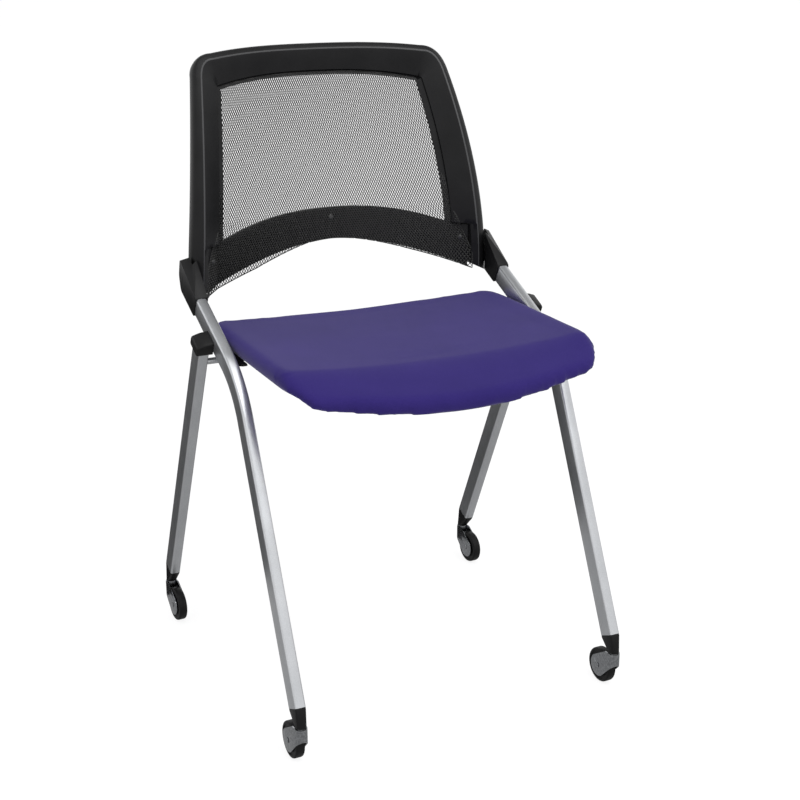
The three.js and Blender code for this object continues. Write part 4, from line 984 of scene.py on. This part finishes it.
# %% Seat sizes
SEAT_HALF = 227
SEAT_FRONT_Y = -264
SEAT_CORNER_Y = -226
SEAT_SHOULDER_Y = -172.8
SEAT_REAR_Y = 119
SEAT_REAR_CORNER_Y = 104
SEAT_CORNER = 22
SEAT_REAR_CORNER = 34
SEAT_CREST_Z = 508.5
SEAT_DISH = 12
SEAT_FALL = 25
SEAT_EDGE = 9
SEAT_SIDE_BOTTOM = 484
SEAT_LIP_BOTTOM = 441.5
SEAT_LIP_RISE = 27
SEAT_BOTTOM = 475.8
SEAT_HEM = 15
SEAT_HEM_LAND = 7
FRONT_POWER = 2.4
FALL_POWER = 1.35
LIP_RISE_POWER = 2.7
UNDER_POWER = 2.4
UNDER_POWER_AT_SIDE = 2.5
OUTLINE_POINTS = 70
CURVE_STEPS = 30


def front_edge(x):
    """The seat's front edge, bowed to the front in the middle."""
    return mix(SEAT_FRONT_Y, SEAT_CORNER_Y, (abs(x) / SEAT_HALF) ** FRONT_POWER)


def fall_share(x, y):
    """How far a place lies down the waterfall: 0 behind the crest, 1 at the front edge."""
    share = (SEAT_SHOULDER_Y - y) / (SEAT_SHOULDER_Y - front_edge(x))
    return min(max(share, 0), 1)


def top_z(x, y):
    """The height of the seat's top, hollow across and falling at the front."""
    dish = SEAT_DISH * (1 - (x / SEAT_HALF) ** 2)
    return SEAT_CREST_Z - dish - SEAT_FALL * fall_share(x, y) ** FALL_POWER


def under_z(x, y, inset):
    """The height of the seat's underside, with a raised hem at the sides and a low lip at the front."""
    hem = min(max(1 - (inset - SEAT_HEM_LAND) / SEAT_HEM, 0), 1) ** 2
    side = mix(SEAT_BOTTOM, SEAT_SIDE_BOTTOM, hem)
    lip = SEAT_LIP_BOTTOM + SEAT_LIP_RISE * abs(x / SEAT_HALF) ** LIP_RISE_POWER
    power = UNDER_POWER + UNDER_POWER_AT_SIDE * abs(x / SEAT_HALF) ** 6
    return mix(side, lip, fall_share(x, y) ** power)


# %% Outline of the seat
def evenly(points, count):
    """Points at equal steps along a line through points."""
    lengths = [0]
    for a, b in zip(points, points[1:]):
        lengths.append(lengths[-1] + (b - a).length)
    out = []
    k = 0
    for i in range(count):
        at = lengths[-1] * i / (count - 1)
        while k < len(points) - 2 and lengths[k + 1] < at:
            k += 1
        step = lengths[k + 1] - lengths[k]
        out.append(points[k].lerp(points[k + 1], (at - lengths[k]) / step if step else 0))
    return out


def seat_outline(inset):
    """The seat's plan at a distance in from its edge, all the way round."""
    side, rear = SEAT_HALF - inset, SEAT_REAR_CORNER_Y - inset
    turn = side - SEAT_CORNER
    start = Vector((0, SEAT_FRONT_Y + inset))
    first = Vector((turn * 0.45, SEAT_FRONT_Y + inset))
    second = Vector((turn * 0.75, front_edge(turn) + inset - SEAT_CORNER * 0.35))
    end = Vector((turn, front_edge(turn) + inset))
    line = []
    for k in range(2 * CURVE_STEPS):
        t = k / (2 * CURVE_STEPS)
        line.append(start * (1 - t) ** 3 + first * (3 * t * (1 - t) ** 2)
                    + second * (3 * t * t * (1 - t)) + end * t ** 3)
    for a, b, c in (
        (end, (side, SEAT_CORNER_Y + inset + SEAT_CORNER * 0.45),
         (side, SEAT_SHOULDER_Y + SEAT_CORNER)),
        ((side, rear - SEAT_REAR_CORNER), (side, rear), (side - SEAT_REAR_CORNER, rear)),
        ((side - SEAT_REAR_CORNER, rear), (side / 2, SEAT_REAR_Y - inset), (0, SEAT_REAR_Y - inset)),
    ):
        line += [bezier(Vector(a), Vector(b), Vector(c), k / CURVE_STEPS)
                 for k in range(CURVE_STEPS)]
    line.append(Vector((0, SEAT_REAR_Y - inset)))
    half = evenly(line, OUTLINE_POINTS)
    return half + [Vector((-p.x, p.y)) for p in reversed(half[1:-1])]


def seat_ring(inset, over):
    """A ring on the top of the seat, or on its underside, with the edge rounded over."""
    rim = max(0, 1 - inset / SEAT_EDGE)
    drop = 1 - math.sqrt(1 - rim ** 2)
    ring = []
    for p in seat_outline(inset):
        top = top_z(p.x, p.y)
        if over:
            z = top - SEAT_EDGE * drop
        else:
            z = under_z(p.x, p.y, inset) + (top - SEAT_EDGE - under_z(p.x, p.y, 0)) * drop
        ring.append(Vector((p.x, p.y, z)))
    return ring


# %% Cushion
VOXEL = 4.5
SHRINK = 1.5
SWELL_CAP = 2.5
EDGE_BLEND = 30
HEM_BLEND = 16
FORM_GAP = 0.8
PRESSURE = 4
STRETCH_STIFFNESS = 25
BEND_STIFFNESS = 4
FRAMES = 20
UNDER_INSETS = (1.2, 2.2, 3.5, 5, 7, 9, 11, 14, 18, 24, 32, 44, 60, 78, 95)
TOP_INSETS = (0, 0.5, 1.2, 2.2, 3.5, 5, 7, 9, 11, 14, 18, 24, 32, 42, 54, 66, 80, 95, 110)
rings = [seat_ring(inset, False) for inset in reversed(UNDER_INSETS)]
rings += [seat_ring(inset, True) for inset in TOP_INSETS]
form = skin("cushion_form", rings)
cushion = copy_of(form, "violet_seat_cushion")
edit_mesh(cushion, "SELECT")
bpy.ops.transform.shrink_fatten(value=-SHRINK * MM)
object_mode()
modifier(cushion, "REMESH", mode="VOXEL", voxel_size=VOXEL * MM, adaptivity=0)
relax(cushion, 3)
print("cushion points", len(cushion.data.vertices))

# %% Plump the cushion
before = [v.co.copy() for v in cushion.data.vertices]
pick_only(cushion)
cloth_sim = cushion.modifiers.new("plump", "CLOTH")
settings = cloth_sim.settings
settings.use_pressure = True
settings.uniform_pressure_force = PRESSURE
settings.effector_weights.gravity = 0
settings.tension_stiffness = STRETCH_STIFFNESS
settings.compression_stiffness = STRETCH_STIFFNESS
settings.bending_stiffness = BEND_STIFFNESS
cloth_sim.point_cache.frame_start = 1
cloth_sim.point_cache.frame_end = FRAMES
for step in range(1, FRAMES + 1):
    bpy.context.scene.frame_set(step)
bpy.ops.object.modifier_apply(modifier=cloth_sim.name)
bpy.context.scene.frame_set(1)
largest = 0
for vertex, start in zip(cushion.data.vertices, before):
    moved = vertex.co - start
    largest = max(largest, moved.length)
    if moved.length > SWELL_CAP * MM:
        vertex.co = start + moved.normalized() * SWELL_CAP * MM
print("cushion moved at most", round(largest / MM, 1), "mm before the cap")
relax(cushion, 3)


# %% Draw the cushion back to its form
def bottom_share(place):
    """1 on the lower part of the cushion's side and on its underside, fading to 0 up the side."""
    x, y, z = place / MM
    middle = (top_z(x, y) + under_z(x, y, 0)) / 2
    return min(max((middle - z) / HEM_BLEND + 0.5, 0), 1)


def form_bottom():
    """Draws the lower part of the cushion onto its form."""
    hem = cushion.vertex_groups.new(name="hem")
    for vertex in cushion.data.vertices:
        hem.add([vertex.index], bottom_share(vertex.co), "REPLACE")
    modifier(cushion, "SHRINKWRAP", target=form, wrap_method="NEAREST_SURFACEPOINT",
             wrap_mode="ON_SURFACE", vertex_group=hem.name)
    cushion.vertex_groups.clear()


form_bottom()
modifier(cushion, "SHRINKWRAP", target=form, wrap_method="NEAREST_SURFACEPOINT", wrap_mode="OUTSIDE",
         offset=FORM_GAP * MM)
edges = cushion.vertex_groups.new(name="edges")
for vertex in cushion.data.vertices:
    x, y, z = vertex.co / MM
    inside = min(SEAT_HALF - abs(x), SEAT_REAR_Y - y, y - front_edge(x))
    above = z > (top_z(x, y) + under_z(x, y, SEAT_HEM)) / 2
    share = min(max((inside - SEAT_EDGE) / EDGE_BLEND, 0), 1) if above else 0
    vertex.co.z = mix(z, top_z(x, y), share) * MM
    edges.add([vertex.index], 1 - share, "REPLACE")
relax(cushion, 8, edges.name)
relax(cushion, 2)
modifier(cushion, "SUBSURF", levels=1, render_levels=1)
form_bottom()
relax(cushion, 4)
remove(form)
smooth(cushion, 80)
place_of(cushion, "seat", "seat_cloth", cloth, "seat_cushion")
print("cushion faces", len(cushion.data.polygons))

# %% [markdown]
# ## Castors
# Each castor is a grip stem, a steel strap bent into a U, a rivet for an axle and one moulded wheel.
# The wheel starts as a cylinder. Its side faces are inset and pushed in for the dish, the hub is
# pulled out again, and the shoulders are rounded with a bevel.

# %% Castor sizes
WHEEL_RADIUS = 25
WHEEL_WIDTH = 13
WHEEL_SHOULDER = 2.5
WHEEL_DISH = 1.2
TYRE_FACE = 1.6
DISH_WALL = 0.6
HUB_WALL = 0.5
HUB_RADIUS = 7
WHEEL_EDGE = 0.4
CASTOR_TRAIL = 26
HEADINGS = {"front_left": 91.2, "front_right": 92, "rear_left": 273.5, "rear_right": 273.6}


def stem_place(end, side):
    """Where a castor's stem stands on the floor plan."""
    low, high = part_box(f"castor_stem_{end}_{side}")
    return Vector(((low.x + high.x) / 2, (low.y + high.y) / 2, 0)) / MM


def castor_frame(place, heading):
    """Turns a castor built with its trail along X to its heading and moves it under its stem."""
    return Matrix.Translation(place * MM) @ Matrix.Rotation(math.radians(heading), 4, "Z")


def wheel_mesh():
    """A wheel about the Y axis: rounded shoulders, a dish on both sides and a flat hub."""
    clear()
    bpy.ops.mesh.primitive_cylinder_add(vertices=72, radius=WHEEL_RADIUS * MM, depth=WHEEL_WIDTH * MM,
                                        rotation=(math.pi / 2, 0, 0))
    wheel = bpy.context.object
    settle(wheel)
    edit_mesh(wheel)
    rim = lambda e: all(abs(abs(v.co.y) - WHEEL_WIDTH * MM / 2) < 0.01 * MM for v in e.verts)
    pick(wheel, "edges", rim)
    bpy.ops.mesh.bevel(offset=WHEEL_SHOULDER * MM, segments=6, affect="EDGES")
    for sign in (-1, 1):
        pick(wheel, "faces", lambda f: f.normal.y * sign > 0.99 and len(f.verts) > 8)
        bpy.ops.mesh.inset(thickness=TYRE_FACE * MM)
        extrude = lambda depth: bpy.ops.mesh.extrude_region_move(
            TRANSFORM_OT_translate={"value": (0, sign * depth * MM, 0)})
        bpy.ops.mesh.inset(thickness=DISH_WALL * MM)
        extrude(-WHEEL_DISH)
        dish = WHEEL_RADIUS - WHEEL_SHOULDER - (TYRE_FACE + DISH_WALL) - HUB_RADIUS
        bpy.ops.mesh.inset(thickness=dish * MM)
        bpy.ops.mesh.inset(thickness=HUB_WALL * MM)
        extrude(WHEEL_DISH)
    object_mode()
    modifier(wheel, "BEVEL", width=WHEEL_EDGE * MM, segments=2, limit_method="ANGLE",
             angle_limit=math.radians(40))
    face_outwards(wheel)
    smooth(wheel)
    return wheel


# %% Make the castors
pattern_wheel = wheel_mesh()
for end in ENDS:
    for side in SIDES:
        place_name = f"{end}_{side}"
        turn = castor_frame(stem_place(end, side), HEADINGS[place_name])
        wheel = copy_of(pattern_wheel, f"tread_wheel_{place_name}")
        shift = Matrix.Translation(Vector((CASTOR_TRAIL, 0, WHEEL_RADIUS)) * MM)
        wheel.data.transform(turn @ shift)
        place_of(wheel, f"wheel_{place_name}", "wheel_nylon", tread, f"castor_wheel_{place_name}")
        for node, name, radius in (
            ("castor_hood", "strap_hood", 0.7),
            ("castor_stem", "grip_stem", 0.4),
            ("castor_axle", "axle_rivet", 0.5),
        ):
            piece = softened(f"{node}_{place_name}", f"{name}_{place_name}", radius)
            place_of(piece, f"castor_{place_name}", "castor_steel", zinc, f"{node}_{place_name}")
remove(pattern_wheel)

# %% [markdown]
# ## Rod, screws and pan
# The cross rod is plain drawn bar with chamfered ends. The three screws on the back have the CAD's
# round heads with a hexagon socket, and the seat board is the CAD's flat pan, all with their edges
# softened.

# %% Cross rod
ROD_RADIUS = 4.5
ROD_CHAMFER = 0.8
ROD_PLACE = Vector((0, 45.2, 465.1))
low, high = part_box("cross_rod")
clear()
bpy.ops.mesh.primitive_cylinder_add(vertices=48, radius=ROD_RADIUS * MM, depth=high.x - low.x,
                                    location=ROD_PLACE * MM, rotation=(0, math.pi / 2, 0))
rod = bpy.context.object
rod.name = "drawn_cross_rod"
settle(rod)
modifier(rod, "BEVEL", width=ROD_CHAMFER * MM, segments=2, limit_method="ANGLE",
         angle_limit=math.radians(60))
smooth(rod)
place_of(rod, "frame", "plated_rod", steel, "cross_rod")


# %% Screws
for which in ("left", "middle", "right"):
    piece = softened(f"back_screw_{which}", f"round_screw_{which}", 0.4)
    place_of(piece, "frame", "screw_steel", screw_black, f"back_screw_{which}")

# %% Stop pins stay as the CAD made them
for side in SIDES:
    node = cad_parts[f"stop_pin_{side}"]
    node.data.materials.clear()
    node.data.materials.append(nylon)
    print(node.name, "is", nylon.name)

# %% Seat board
pan = softened("seat_pan", "seat_board", 0.8)
place_of(pan, "seat", "seat_shell", shell, "seat_pan")
